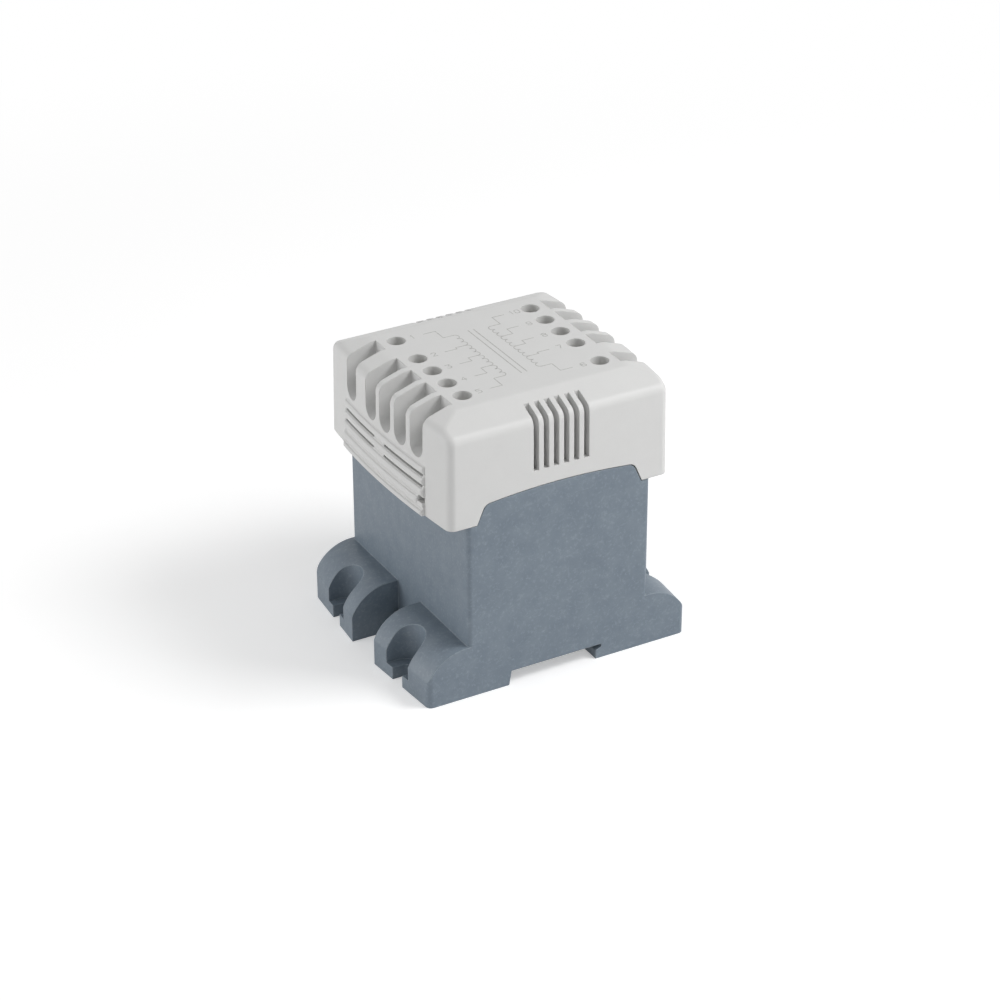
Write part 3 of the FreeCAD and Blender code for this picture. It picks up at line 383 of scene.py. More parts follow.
class Finish(Enum):
    """Every finish on the part, named for what the real one is made of.

    The four lengths of a moulded plastic are its grain, the grain's depth, its flow clouds and its edge rounding. The
    lengths of a metal are its tool lines and their depth; along the axis with the small factor the lines are long.
    """

    # Every moulded plastic below lightens its edges with a painted highlight.
    # Light grey PC/ABS from a finely spark-eroded mould: matt and even, with a painted highlight that makes edges a
    # touch lighter.
    COVER = MouldedPlastic("moulded_pc_abs_light_grey", "d6d6d5", "d4d4d3", "dadad9", 0.25, 0.52,
                           0.35, 0.012, 9.0, 0.45, "e6e6e3", 0.45)
    # Blue-grey glass-filled polyamide: the fibres' flow gives pale mottling, and a painted highlight makes edges pale.
    HOUSING = MouldedPlastic("glass_filled_polyamide_blue_grey", "76828d", "6c7884", "93a0aa", 0.46, 0.46,
                             0.5, 0.02, 6.0, 0.5, "a9b4bc", 0.5)
    # The latch is the same polyamide from another mould: a shade darker, with less mottling.
    LATCH = MouldedPlastic("glass_filled_polyamide_latch", "74808a", "6e7a84", "8d99a3", 0.4, 0.45,
                           0.4, 0.015, 5.0, 0.3, "9aa5ad", 0.3)
    # Black flame-retardant polyamide of the terminal carriers: charcoal rather than black, with a grey painted
    # highlight on edges.
    CARRIER = MouldedPlastic("flame_retardant_polyamide_black", "2e3032", "292b2d", "3d3f42", 0.3, 0.45,
                             0.4, 0.012, 5.0, 0.25, "55585b", 0.25)
    # Natural polybutylene terephthalate of the coil former: undyed, a warm and slightly glossy ivory.
    FORMER = MouldedPlastic("natural_pbt", "d9d3c4", "d2ccbc", "e2ddd0", 0.3, 0.42,
                            0.5, 0.01, 7.0, 0.3, "ebe6da", 0.25)
    # Yellow polyester film tape round the coils: smooth, with a soft gloss.
    TAPE = MouldedPlastic("polyester_film_tape", "d9a91c", "d2a014", "e2b634", 0.2, 0.28,
                          0.8, 0.01, 8.0, 0.2, "e8c552", 0.2)
    # Steel screws, zinc plated and clear passivated: bright, with faint lines down the shank.
    ZINC_SCREW = Metal("zinc_plated_screw_steel", "c9c8c2", 0.30, 0.25, (1.0, 1.0, 0.2), 0.006)
    # Cages bent from steel strip and zinc plated in a drum: a greyer, softer shine.
    ZINC_CAGE = Metal("zinc_plated_cage_steel", "bdbcb8", 0.36, 0.3, (0.2, 1.0, 1.0), 0.008)
    # Stamped brass bars under a thin coat of tin: a warm white with drawing lines along X.
    TINNED_BRASS = Metal("tinned_brass", "cfccc4", 0.33, 0.3, (0.15, 1.0, 1.0), 0.006)
    # Hot-dip galvanised sheet of the clamp frames: dull, cool grey, rolled along Y.
    FRAME_STEEL = Metal("galvanised_sheet_steel", "b4b6b8", 0.42, 0.6, (1.0, 0.2, 1.0), 0.01)
    # Bolts and nuts with a yellowish passivation over the zinc.
    BOLT_STEEL = Metal("zinc_plated_bolt_steel", "c2bda8", 0.34, 0.3, (0.2, 1.0, 1.0), 0.008)
    # Bare, oiled spring steel: darker and smoother than the plated parts.
    SPRING_STEEL = Metal("spring_steel_wire", "8d8f93", 0.28, 0.1, (1.0, 1.0, 1.0), 0.003, 0.05)
    # Copper wire under a clear enamel: red-brown with a wet gloss.
    COPPER = Metal("enamelled_copper_wire", "b5623a", 0.25, 0.5, (1.0, 1.0, 1.0), 0.003, 0.05)
    # Silicon-steel sheets half a millimetre thick, dark with lacquer, their cut edges lighter.
    CORE_SHEETS = SheetStack("lacquered_silicon_steel", "2c2d30", "6b6c70", 0.5, 0.05, 0.8, 0.45)
    # Light grey ink, pad-printed on the cover: matt, and thin enough in places to let the plastic through.
    INK = PrintInk("pad_print_ink_grey", "a9a9a6", "c2c2bf", 0.6)


def dress(node: bpy.types.Object, material: bpy.types.Material) -> None:
    """Give every material slot of a solid one finish.

    Args:
        node: The solid's object.
        material: Its finish.
    """
    for slot in node.material_slots:
        slot.link = "DATA"
        slot.material = material
    if not node.material_slots:
        node.data.materials.append(material)


# Pieces


@dataclass
class Dressing:
    """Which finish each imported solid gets, by the first words of its name."""

    finishes: dict[Finish, tuple[str, ...]]

    def apply(self, nodes: dict[str, bpy.types.Object]) -> dict[Finish, bpy.types.Material]:
        """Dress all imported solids.

        Args:
            nodes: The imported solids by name.

        Returns:
            The materials made.
        """
        made = {finish: finish.value.make() for finish in Finish}
        for name, node in nodes.items():
            for finish, stems in self.finishes.items():
                if name.startswith(stems):
                    dress(node, made[finish])
            LOG.info("dressed %s", name)
        return made


@dataclass
class TerminalScrews:
    """Ten terminal screws with combined cross and slot recesses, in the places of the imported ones.

    The recess factors are shares of its full depth: the slot's depth, the bowl's depth at the middle before it is
    capped at one, its fall towards the cross's reach, and the least depth that the cross keeps.
    """

    row_x: float = 27.1 * MM
    head_radius: float = 3.0 * MM
    head_top: float = 102.6 * MM
    head_height: float = 2.4 * MM
    crown: float = 0.25 * MM
    edge: float = 0.35 * MM
    recess_depth: float = 1.3 * MM
    recess_wall: float = 0.12 * MM
    slot_half: float = 0.42 * MM
    slot_share: float = 0.62
    cross_reach: float = 1.75 * MM
    bowl_middle: float = 1.25
    bowl_fall: float = 0.6
    bowl_least: float = 0.35
    shank_radius: float = 1.5 * MM
    shank_bottom: float = 98.35 * MM
    thread_pitch: float = 0.7 * MM
    thread_depth: float = 0.25 * MM
    turns: tuple[float, ...] = (0.4, 1.3, 2.2, 0.9, 1.8)
    head_around: int = 96
    head_rings: int = 44
    edge_steps: int = 6
    shank_around: int = 40
    rows_per_pitch: int = 8

    def head_surface(self) -> tuple[np.ndarray, np.ndarray]:
        """Head as one surface over angle and a profile step.

        The profile runs up the side, over a rounded edge and in to the axis. Inside the edge the height is the
        crown's parabola less a recess: full depth where the distance to either arm of the cross is under half a
        slot's width, with a short slope at its walls.

        Returns:
            Points of one head about the Z axis, and its faces.
        """
        around = self.head_around
        side = np.array([[self.head_radius, -self.head_height], [self.head_radius, -self.edge]])
        corner = np.linspace(0, math.pi / 2, self.edge_steps)[1:]
        rounded = np.stack([self.head_radius - self.edge + self.edge * np.cos(corner),
                            -self.edge + self.edge * np.sin(corner)], axis=1)
        inward = np.linspace(self.head_radius - self.edge, 0.0, self.head_rings)[1:]
        top = np.stack([inward, np.zeros_like(inward)], axis=1)
        profile = np.concatenate([side, rounded, top])
        angle = np.linspace(0, 2 * math.pi, around, endpoint=False)
        radius, turn = np.meshgrid(profile[:, 0], angle, indexing="ij")
        height = np.repeat(profile[:, 1][:, None], around, axis=1)
        x, y = radius * np.cos(turn), radius * np.sin(turn)
        inside = radius < self.head_radius - self.edge + FLAT_DISTANCE
        dome = self.crown * (1 - (radius / self.head_radius) ** 2)
        slot = np.clip((self.slot_half - np.abs(y)) / self.recess_wall + 1, 0, 1)
        cross = np.clip((self.slot_half - np.abs(x)) / self.recess_wall + 1, 0, 1)
        cross *= np.clip((self.cross_reach - np.abs(y)) / (3 * self.recess_wall), 0, 1)
        bowl = np.clip(self.bowl_middle - radius / self.cross_reach * self.bowl_fall, self.bowl_least, 1)
        recess = np.maximum(slot * self.slot_share, cross * bowl) * self.recess_depth
        height = np.where(inside, height + dome - recess, height)
        points = np.stack([x, y, height], axis=-1).reshape(-1, 3)
        return points, grid_faces(len(profile), around, close_columns=True)

    def shank_surface(self) -> tuple[np.ndarray, np.ndarray]:
        """Shank as one surface over angle and height.

        The radius falls from the crest by a triangle wave of height over pitch less turn, which is a helical thread.

        Returns:
            Points of one shank about the Z axis, and its faces.
        """
        around = self.shank_around
        length = self.head_top - self.head_height - self.shank_bottom
        rows = int(length / self.thread_pitch * self.rows_per_pitch)
        height = np.linspace(-self.head_height, -self.head_height - length, rows)
        angle = np.linspace(0, 2 * math.pi, around, endpoint=False)
        z, turn = np.meshgrid(height, angle, indexing="ij")
        phase = (z / self.thread_pitch - turn / (2 * math.pi)) % 1.0
        radius = self.shank_radius - self.thread_depth * (1 - np.abs(2 * phase - 1))
        points = np.stack([radius * np.cos(turn), radius * np.sin(turn), z], axis=-1).reshape(-1, 3)
        foot = np.array([[0.0, 0.0, height[-1]]])
        faces = grid_faces(rows, around, close_columns=True, flip=True)
        last = (rows - 1) * around
        ring = np.arange(around)
        cap = np.stack([last + ring, last + (ring + 1) % around, np.full(around, rows * around),
                        np.full(around, rows * around)], axis=1)
        return np.concatenate([points, foot]), np.concatenate([faces, cap])

    def build(self, material: bpy.types.Material) -> None:
        """Make one piece for each row.

        Args:
            material: The screws' finish.
        """
        head_points, head_faces = self.head_surface()
        shank_points, shank_faces = self.shank_surface()
        for side, name in ((-1, "left"), (1, "right")):
            points, faces, count = [], [], 0
            for place, turn in zip(TERMINAL_PLACES, self.turns):
                spin = np.array(Matrix.Rotation(turn * side, 3, "Z"))
                shift = np.array([side * self.row_x, -side * place * MM, self.head_top])
                for part_points, part_faces in ((head_points, head_faces), (shank_points, shank_faces)):
                    points.append(part_points @ spin.T + shift)
                    faces.append(part_faces + count)
                    count += len(part_points)
            piece = mesh_piece(f"slotted_cross_screws_{name}", np.concatenate(points), np.concatenate(faces))
            clean_mesh(piece)
            piece.data.materials.append(material)
            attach(piece, FIXED_BODY)
            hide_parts(f"terminal_screws_{name}")
            LOG.info("made %s", piece.name)


@dataclass
class Winding:
    """Layer-wound coil seen as its outer layer of round wire."""

    node: str
    wire: float
    corner: float = 6.0 * MM
    former_half: tuple[float, float] = (20.5 * MM, 14.5 * MM)
    former_corner: float = 0.3 * MM
    corner_steps: int = 10
    wire_steps: int = 6

    def ring(self, half: np.ndarray, corner: float) -> tuple[np.ndarray, np.ndarray]:
        """Rounded rectangle as corner centres plus outward directions.

        Args:
            half: Half sizes along X and Y.
            corner: Radius of the corners.

        Returns:
            Centres and unit directions, so that a point is its centre plus the radius times its direction.
        """
        angle = np.linspace(0, math.pi / 2, self.corner_steps)[None] + math.pi / 2 * np.arange(4)[:, None]
        signs = np.array([[1, 1], [-1, 1], [-1, -1], [1, -1]])
        centres = np.repeat(signs * (half - corner), self.corner_steps, axis=0)
        ways = np.stack([np.cos(angle), np.sin(angle)], axis=-1).reshape(-1, 2)
        return centres, ways

    def build(self, material: bpy.types.Material) -> None:
        """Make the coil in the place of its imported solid.

        The outside is a rounded rectangle whose reach swells by a half circle for every turn of wire: reach =
        corner - wire / 2 + wire / 2 * sin(phase), height = turn + (1 - cos(phase)) / 2. A plain ring on the
        former's tube closes it inside.

        Args:
            material: The wire's finish.
        """
        low, high = (np.array(corner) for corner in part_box(self.node))
        half = (high[:2] - low[:2]) / 2
        turns = int((high[2] - low[2]) / self.wire)
        wire = (high[2] - low[2]) / turns
        phase = np.linspace(0, math.pi, self.wire_steps, endpoint=False)
        rise = (low[2] + wire * (np.arange(turns)[:, None] + (1 - np.cos(phase)) / 2)).ravel()
        rise = np.concatenate([rise, [high[2]]])
        bulge = np.concatenate([np.tile(wire / 2 * np.sin(phase), turns), [0.0]])
        centres, ways = self.ring(half, self.corner)
        reach = (self.corner - wire / 2 + bulge)[:, None, None]
        outer = np.concatenate([centres + reach * ways, np.repeat(rise[:, None, None], len(ways), axis=1)], axis=-1)
        inner_centres, _ = self.ring(np.array(self.former_half), self.former_corner)
        inner = inner_centres + self.former_corner * ways
        bottom = np.concatenate([inner, np.full((len(ways), 1), low[2])], axis=1)[None]
        top = np.concatenate([inner, np.full((len(ways), 1), high[2])], axis=1)[None]
        rings = np.concatenate([bottom, outer, top, bottom])
        faces = grid_faces(len(rings), len(ways), close_columns=True)
        piece = mesh_piece(f"{self.node}_turns", rings.reshape(-1, 3), faces)
        clean_mesh(piece)
        piece.data.materials.append(material)
        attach(piece, FIXED_BODY)
        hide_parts(self.node)
        LOG.info("made %s", piece.name)


@dataclass
class VentFins:
    """Fins behind the cover's vents that carry the ribs between them further in.

    The path is the inner line of the front wall and its shoulder, as distance from the middle and height, in
    millimetres.
    """

    pitch: float = 3.97 * MM
    shift: float = 0.35 * MM
    rib: float = 1.92 * MM
    play: float = 0.02 * MM
    depth: float = 1.9 * MM
    root: float = 0.6 * MM
    count: int = 7
    path: tuple[tuple[float, float], ...] = (
        (42.16, 81.8), (42.16, 83.0), (41.9, 99.9), (39.0, 101.08), (35.6, 102.47))

    def build(self, material: bpy.types.Material) -> None:
        """Make the fins of both long sides as one piece.

        A rectangle, rib wide and root + depth deep, is carried along the wall's inner line. The line is moved
        outwards by root and inwards by depth along the mean normal of its neighbouring runs.

        Args:
            material: The cover's finish.
        """
        line = np.array(self.path) * MM
        ahead = np.diff(line, axis=0)
        ahead /= np.linalg.norm(ahead, axis=1, keepdims=True)
        mean = np.concatenate([ahead[:1], ahead]) + np.concatenate([ahead, ahead[-1:]])
        mean /= np.linalg.norm(mean, axis=1, keepdims=True)
        outward = np.stack([mean[:, 1], -mean[:, 0]], axis=1)
        out, back = line + outward * self.root, line - outward * self.depth
        half = self.rib / 2 - self.play
        corners = np.stack([np.concatenate([np.full((len(line), 1), x), side], axis=1)
                            for x, side in ((-half, out), (half, out), (half, back), (-half, back))], axis=1)
        block = corners.reshape(-1, 3)
        quads = grid_faces(len(line), 4, close_columns=True)
        last = (len(line) - 1) * 4
        quads = np.concatenate([quads, [[3, 2, 1, 0], [last, last + 1, last + 2, last + 3]]])
        points, faces = [], []
        for side in (-1, 1):
            for n in range(self.count):
                x = (n - (self.count - 1) / 2) * self.pitch + self.shift
                points.append(block * [-side, side, 1] + [-side * x, 0, 0])
                faces.append(quads + len(block) * len(faces))
        piece = mesh_piece("vent_fins", np.concatenate(points), np.concatenate(faces), smooth=False)
        clean_mesh(piece)
        piece.data.materials.append(material)
        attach(piece, FIXED_BODY)
        LOG.info("made %s", piece.name)


@dataclass
class LouvreSlats:
    """Rounded slats between the grooves and slits of the louvred end panels.

    The panels are bowed about an upright axis at axis_x and lean outwards by proud from their top to their bottom.
    Each slat is given by its middle height and half its height, in millimetres.
    """

    axis_x: float = 298.21 * MM
    face_top: float = 46.2 * MM
    proud: float = 1.2 * MM
    top: float = 87.4 * MM
    bottom: float = 68.1 * MM
    slats: tuple[tuple[float, float], ...] = (
        (85.35, 1.3), (81.25, 1.3), (77.15, 1.3), (73.05, 1.3), (69.25, 0.95))
    bulge: float = 0.64 * MM
    root: float = 0.4 * MM
    half_width: float = 29.3 * MM
    release_end: float = 26.3 * MM
    release_slat: int = 3
    fade: float = 1.4 * MM
    profile_steps: int = 13
    run_steps: int = 61

    def bar(self, middle: float, half: float, low_y: float, high_y: float) -> tuple[np.ndarray, np.ndarray]:
        """One slat of the left panel.

        A point lies at a distance from the bow's axis: axis + face(z) + bulge * sin(u) * end(y), where z = middle +
        half * cos(u), face(z) is the panel's lean, and end(y) falls along a quarter circle over the last bit at each
        end. The back of the profile lies root inside the panel. Both ends close in a point.

        Args:
            middle: Height of the slat's middle.
            half: Half its height.
            low_y: Where it starts along Y.
            high_y: Where it ends along Y.

        Returns:
            Points and faces of the slat.
        """
        turn = np.linspace(0, math.pi, self.profile_steps)
        height = middle + half * np.cos(turn)
        swell = self.bulge * np.sin(turn)
        height = np.concatenate([height, [middle - half, middle + half]])
        swell = np.concatenate([swell, [-self.root, -self.root]])
        along = np.linspace(0, 1, self.run_steps)
        y = low_y + (high_y - low_y) * (0.5 - 0.5 * np.cos(math.pi * along))
        near = np.clip(np.minimum(y - low_y, high_y - y) / self.fade, 0, 1)
        end = np.sqrt(1 - (1 - near) ** 2)
        scale = np.where(swell > 0, end[:, None], 1.0)
        lean = self.face_top + self.proud * (self.top - height) / (self.top - self.bottom)
        reach = self.axis_x + lean + swell * scale
        angle = np.arcsin(y / (self.axis_x + self.face_top))[:, None]
        points = np.stack([self.axis_x - reach * np.cos(angle), reach * np.sin(angle),
                           np.broadcast_to(height, reach.shape)], axis=-1)
        tips = points[[0, -1]].mean(axis=1, keepdims=True) * np.ones((1, len(height), 1))
        points = np.concatenate([tips[:1], points, tips[1:]])
        return points.reshape(-1, 3), grid_faces(len(points), len(height), close_columns=True)

    def build(self, material: bpy.types.Material) -> None:
        """Make the slats of both panels as one piece; the right panel is the left one turned half a turn.

        The slat beside the release slot ends short of it.

        Args:
            material: The cover's finish.
        """
        points, faces, count = [], [], 0
        for side in (1, -1):
            for n, (middle, half) in enumerate(self.slats):
                low_y = -self.release_end if n == self.release_slat else -self.half_width
                bar_points, bar_faces = self.bar(middle * MM, half * MM, low_y, self.half_width)
                points.append(bar_points * [side, side, 1])
                faces.append(bar_faces + count)
                count += len(bar_points)
        piece = mesh_piece("louvre_slats", np.concatenate(points), np.concatenate(faces))
        clean_mesh(piece)
        piece.data.materials.append(material)
        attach(piece, FIXED_BODY)
        LOG.info("made %s", piece.name)


class Digit(Enum):
    """Plain numbers as strokes on a grid four wide and six high."""

    ZERO = ("0", (((0, 1), (0, 5), (1, 6), (3, 6), (4, 5), (4, 1), (3, 0), (1, 0), (0, 1)),))
    ONE = ("1", (((1, 5), (2, 6), (2, 0)),))
    TWO = ("2", (((0, 5), (1, 6), (3, 6), (4, 5), (4, 4), (0, 0), (4, 0)),))
    THREE = ("3", (((0, 6), (4, 6), (2, 3.6), (3, 3.6), (4, 2.6), (4, 1), (3, 0), (1, 0), (0, 1)),))
    FOUR = ("4", (((3, 0), (3, 6), (0, 2), (4, 2)),))
    FIVE = ("5", (((4, 6), (0, 6), (0, 3.5), (3, 3.5), (4, 2.5), (4, 1), (3, 0), (0, 0)),))
    SIX = ("6", (((4, 5), (3, 6), (1, 6), (0, 5), (0, 1), (1, 0), (3, 0), (4, 1), (4, 2.5), (3, 3.4), (0, 3.4)),))
    SEVEN = ("7", (((0, 6), (4, 6), (1.5, 0)),))
    EIGHT = ("8", (((1, 3.2), (0, 4.2), (0, 5), (1, 6), (3, 6), (4, 5), (4, 4.2), (3, 3.2), (1, 3.2), (0, 2.2), (0, 1),
                    (1, 0), (3, 0), (4, 1), (4, 2.2), (3, 3.2)),))
    NINE = ("9", (((0, 1), (1, 0), (3, 0), (4, 1), (4, 5), (3, 6), (1, 6), (0, 5), (0, 3.5), (1, 2.6), (4, 2.6)),))


@dataclass
class CoverPrint:
    """Line schematic and plain numbers on the cover's top.

    The places of the print, from number_x on, are in millimetres. A digit's step and gap are in cells of its grid,
    and core_line is the core's line width as a multiple of the others'.
    """

    top: float = 107.2 * MM
    thickness: float = 0.02 * MM
    line: float = 0.32 * MM
    core_line: float = 1.2
    digit_height: float = 2.5 * MM
    digit_step: float = 5.4
    digit_gap: float = 1.4
    number_x: float = 20.6
    number_drop: float = 1.2
    coil_x: float = 7.5
    coil_end: float = 6.0
    knee: float = 4.0
    lead_x: float = 16.2
    loops: int = 3
    loop_reach: float = 1.4
    loop_steps: int = 9
    core_x: float = 1.1
    core_half: float = 19.0
    mitre_least: float = 0.6
    tiny: float = 1e-12

    def strokes(self) -> list[tuple[np.ndarray, float]]:
        """List every printed line.

        Returns:
            Runs of X and Y places in metres, each with its line width.
        """
        runs = []
        for side in (-1, 1):
            for number, place in enumerate(TERMINAL_PLACES, start=1):
                text = str(number if side < 0 else number + len(TERMINAL_PLACES))
                runs += self.number(text, side * self.number_x, -side * place - self.number_drop)
        runs += self.schematic()
        return runs

    def number(self, text: str, x: float, y: float) -> list[tuple[np.ndarray, float]]:
        """Lay out a plain number.

        Args:
            text: Its digits.
            x: Middle of the number, in millimetres.
            y: Foot of the number, in millimetres.

        Returns:
            Its strokes.
        """
        grid = self.digit_height / 6
        step = self.digit_step * grid
        shapes = {digit.value[0]: digit.value[1] for digit in Digit}
        start = x * MM - (len(text) * step - self.digit_gap * grid) / 2
        return [(np.array(run) * grid + np.array([start + n * step, y * MM]), self.line)
                for n, letter in enumerate(text) for run in shapes[letter]]

    def schematic(self) -> list[tuple[np.ndarray, float]]:
        """Two windings with their taps beside a core line.

        Each tap runs from its terminal to the knee, along to its rung and into the coil. Between two rungs the coil
        is a row of half circles, stretched along Y so that they fill the gap.

        Returns:
            Runs of the schematic.
        """
        runs = []
        turn = np.linspace(0, math.pi, self.loop_steps)
        for side in (-1, 1):
            coil_x, lead_x = side * self.coil_x, side * self.lead_x
            knee_x = coil_x + side * self.knee
            ys = sorted(-side * place for place in TERMINAL_PLACES)
            rungs = np.linspace(ys[0] + self.coil_end, ys[-1] - self.coil_end, len(ys))
            for y, rung in zip(ys, rungs):
                tap = np.array([[lead_x, y], [knee_x, y], [knee_x, rung], [coil_x, rung]])
                runs.append((tap * MM, self.line))
            for first, second in zip(rungs[:-1], rungs[1:]):
                span = (second - first) / self.loops
                for n in range(self.loops):
                    loop_y = first + n * span + (1 - np.cos(turn)) / 2 * span
                    arc = np.stack([coil_x - side * np.sin(turn) * self.loop_reach, loop_y], axis=1)
                    runs.append((arc * MM, self.line))
        for x in (-self.core_x, self.core_x):
            core = np.array([[x, -self.core_half], [x, self.core_half]])
            runs.append((core * MM, self.line * self.core_line))
        return runs

    def ribbon(self, run: np.ndarray, width: float) -> tuple[np.ndarray, np.ndarray]:
        """Turn a run into a thin slab.

        Each point is moved to both sides along the mean of its neighbours' normals, at the bottom and the top, and
        the four rows are closed round and at both ends. At a sharp corner the line is widened no further than the
        mitre limit allows, and a sum of two opposite runs is kept from nought.

        Args:
            run: Places of the run.
            width: Width of the line.

        Returns:
            Points and faces of the slab.
        """
        ahead = np.diff(run, axis=0)
        ahead /= np.linalg.norm(ahead, axis=1, keepdims=True) + self.tiny
        first = np.concatenate([ahead[:1], ahead])
        second = np.concatenate([ahead, ahead[-1:]])
        mean = first + second
        mean /= np.linalg.norm(mean, axis=1, keepdims=True) + self.tiny
        reach = width / 2 / np.clip(np.abs(np.sum(mean * first, axis=1)), self.mitre_least, 1)
        normal = np.stack([-mean[:, 1], mean[:, 0]], axis=1) * reach[:, None]
        ends = run.copy()
        ends[0] -= ahead[0] * width / 2
        ends[-1] += ahead[-1] * width / 2
        low = np.full((len(run), 1), self.top)
        rows = [np.concatenate([ends + normal, low], axis=1), np.concatenate([ends - normal, low], axis=1)]
        rows += [rows[1] + [0, 0, self.thickness], rows[0] + [0, 0, self.thickness]]
        points = np.stack(rows, axis=1).reshape(-1, 3)
        faces = grid_faces(len(run), 4, close_columns=True)
        last = (len(run) - 1) * 4
        caps = np.array([[3, 2, 1, 0], [last, last + 1, last + 2, last + 3]])
        return points, np.concatenate([faces, caps])

    def build(self, material: bpy.types.Material) -> None:
        """Make the whole print as one piece.

        Args:
            material: The ink.
        """
        points, faces, count = [], [], 0
        for run, width in self.strokes():
            slab_points, slab_faces = self.ribbon(run, width)
            points.append(slab_points)
            faces.append(slab_faces + count)
            count += len(slab_points)
        piece = mesh_piece("cover_print", np.concatenate(points), np.concatenate(faces), smooth=False)
        clean_mesh(piece)
        piece.data.materials.append(material)
        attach(piece, FIXED_BODY)
        LOG.info("made %s", piece.name)


# Studio


@dataclass(frozen=True)
class Lamp:
    """Square soft lamp that looks at the part's middle."""

    name: str
    place: tuple[float, float, float]
    watts: float
    size: float

    def build(self, target: tuple[float, float, float]) -> None:
        """Make the lamp.

        Args:
            target: The place that it looks at.
        """
        lamp = bpy.data.lights.new(self.name, "AREA")
        lamp.energy = self.watts
        lamp.size = self.size
        holder = bpy.data.objects.new(self.name, lamp)
        holder.location = self.place
        holder.rotation_euler = (Vector(target) - Vector(self.place)).to_track_quat("-Z", "Y").to_euler()
        bpy.context.scene.collection.objects.link(holder)


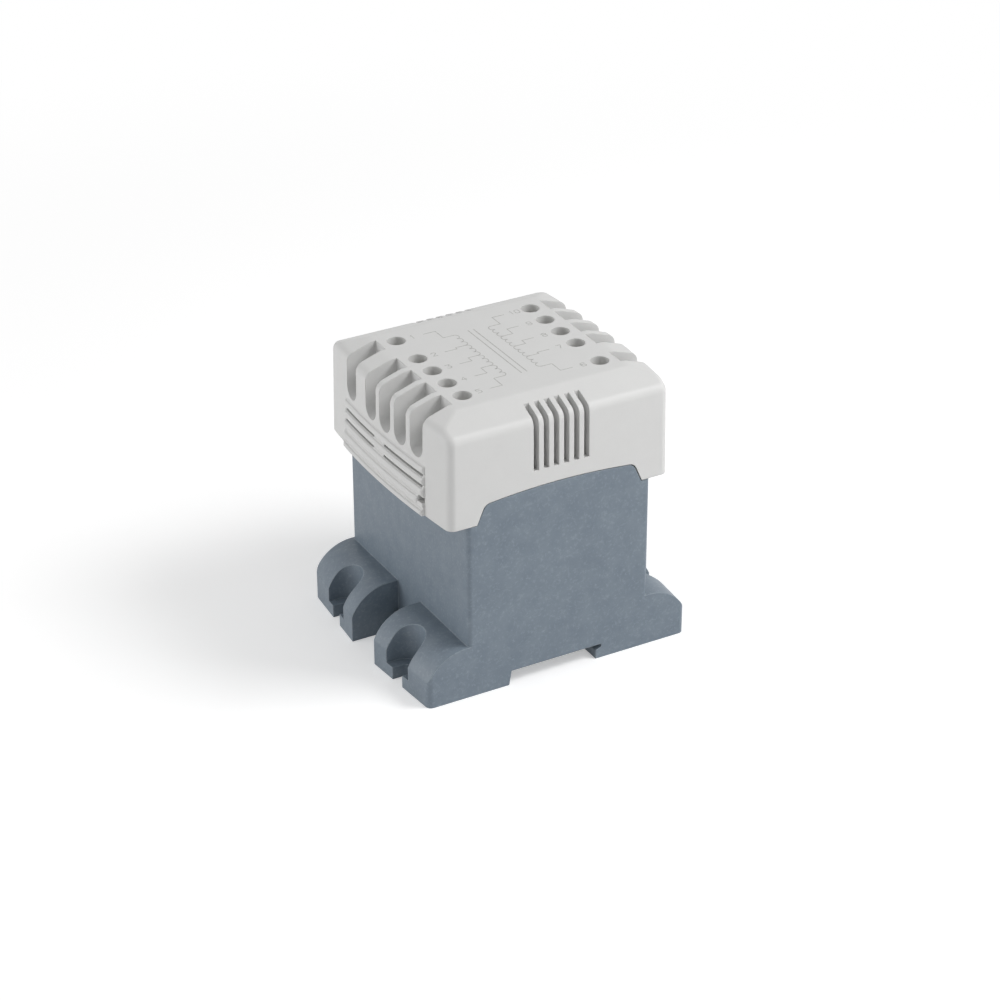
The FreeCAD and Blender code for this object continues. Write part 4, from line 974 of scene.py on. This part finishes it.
@dataclass
class Studio:
    """Pale floor, white surroundings, three soft lamps and the camera."""

    floor_half: float = 2.5
    floor_colour: str = "e9e9e9"
    floor_lift: float = 0.38
    floor_fade: tuple[float, float] = (0.2, 0.6)
    sky: float = 0.38
    lamps: tuple[Lamp, ...] = (
        Lamp("lamp_right_above", (0.6, -0.45, 0.85), 7.3, 0.45),
        Lamp("lamp_front", (0.3, -1.0, 0.22), 1.65, 0.6),
        Lamp("lamp_left", (-1.0, 0.4, 0.22), 4.8, 0.6))
    target: tuple[float, float, float] = (0.0, 0.0, 0.05)
    eye: tuple[float, float, float] = (-0.44699, -0.80034, 0.55725)
    azimuth: float = -29.2408
    elevation: float = 29.0745
    roll: float = -0.124
    lens: float = 105.24
    sensor: float = 36.0
    clip: tuple[float, float] = (0.05, 20.0)

    def build(self) -> None:
        """Make floor, world, lamps and camera."""
        self.make_floor()
        self.make_world()
        for lamp in self.lamps:
            lamp.build(self.target)
        self.make_camera()
        bpy.context.scene.view_settings.view_transform = "Standard"

    def make_floor(self) -> None:
        """Make the pale floor, white to the camera and to reflections, that keeps the shadow.

        Its share of plain white grows with the distance from the part, past the reach of the shadow.
        """
        half = self.floor_half
        points = np.array([[-half, -half, 0], [half, -half, 0], [half, half, 0], [-half, half, 0]])
        floor = mesh_piece("floor", points, np.array([[0, 1, 2, 3]]), smooth=False)
        material, tree, output = new_material("matt_white_paper")
        paper = add_node(tree, "ShaderNodeBsdfDiffuse", {"Color": linear(self.floor_colour)})
        lift = add_node(tree, "ShaderNodeEmission", {"Color": WHITE, "Strength": self.floor_lift})
        both = add_node(tree, "ShaderNodeAddShader", {0: paper.outputs[0], 1: lift.outputs[0]})
        seen = seen_directly(tree)
        place = add_node(tree, "ShaderNodeTexCoord").outputs["Object"]
        away = add_node(tree, "ShaderNodeVectorMath", {0: place}, operation="LENGTH")
        far = add_node(tree, "ShaderNodeMapRange", {
            "Value": away.outputs["Value"], "From Min": self.floor_fade[0], "From Max": self.floor_fade[1]},
            interpolation_type="SMOOTHSTEP")
        white = add_node(tree, "ShaderNodeEmission", {"Color": WHITE, "Strength": 1.0})
        ground = add_node(tree, "ShaderNodeMixShader", {
            0: far.outputs["Result"], 1: both.outputs[0], 2: white.outputs[0]})
        mixed = add_node(tree, "ShaderNodeMixShader", {0: seen, 1: paper.outputs[0], 2: ground.outputs[0]})
        tree.links.new(mixed.outputs[0], output.inputs["Surface"])
        floor.data.materials.append(material)

    def make_world(self) -> None:
        """Make the even surroundings: lit at sky strength, white to the camera and to reflections."""
        world = bpy.data.worlds.new("studio")
        world.use_nodes = True
        tree = world.node_tree
        tree.nodes.clear()
        seen = seen_directly(tree)
        lit = add_node(tree, "ShaderNodeBackground", {"Color": WHITE, "Strength": self.sky})
        white = add_node(tree, "ShaderNodeBackground", {"Color": WHITE, "Strength": 1.0})
        mixed = add_node(tree, "ShaderNodeMixShader", {0: seen, 1: lit.outputs[0], 2: white.outputs[0]})
        output = add_node(tree, "ShaderNodeOutputWorld")
        tree.links.new(mixed.outputs[0], output.inputs["Surface"])
        bpy.context.scene.world = world

    def make_camera(self) -> None:
        """Make the camera at the photograph's viewing angle."""
        a, e, r = (math.radians(v) for v in (self.azimuth, self.elevation, self.roll))
        back = Vector((math.sin(a) * math.cos(e), -math.cos(a) * math.cos(e), math.sin(e)))
        right = Vector((math.cos(a), math.sin(a), 0.0))
        up = back.cross(right)
        turned = Matrix((right, up, back)).transposed() @ Matrix.Rotation(r, 3, "Z")
        data = bpy.data.cameras.new("camera")
        data.lens = self.lens
        data.sensor_width = self.sensor
        data.clip_start, data.clip_end = self.clip
        camera = bpy.data.objects.new("camera", data)
        camera.matrix_world = Matrix.Translation(self.eye) @ turned.to_4x4()
        bpy.context.scene.collection.objects.link(camera)
        bpy.context.scene.camera = camera


def main() -> None:
    """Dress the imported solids, add the made pieces and set up the studio."""
    logging.basicConfig(level=logging.INFO, format="%(name)s: %(message)s")
    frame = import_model()
    dressing = Dressing({
        Finish.COVER: ("terminal_cover",),
        Finish.HOUSING: ("housing",),
        Finish.LATCH: ("rail_latch",),
        Finish.CARRIER: ("terminal_block",),
        Finish.FORMER: ("coil_former",),
        Finish.TAPE: ("primary_tape", "secondary_tape"),
        Finish.ZINC_SCREW: ("terminal_screws",),
        Finish.ZINC_CAGE: ("clamp_cage",),
        Finish.TINNED_BRASS: ("current_bar",),
        Finish.FRAME_STEEL: ("clamp_frame",),
        Finish.BOLT_STEEL: ("core_bolts", "core_nuts", "frame_screws"),
        Finish.SPRING_STEEL: ("latch_spring",),
        Finish.COPPER: ("primary_winding", "secondary_winding", "primary_leads", "secondary_leads"),
        Finish.CORE_SHEETS: ("core_e_laminations", "core_i_laminations"),
    })
    made = dressing.apply(frame["nodes"])
    TerminalScrews().build(made[Finish.ZINC_SCREW])
    VentFins().build(made[Finish.COVER])
    LouvreSlats().build(made[Finish.COVER])
    Winding("primary_winding", PRIMARY_WIRE).build(made[Finish.COPPER])
    Winding("secondary_winding", SECONDARY_WIRE).build(made[Finish.COPPER])
    CoverPrint().build(made[Finish.INK])
    Studio().build()


if __name__ == "__main__":
    main()
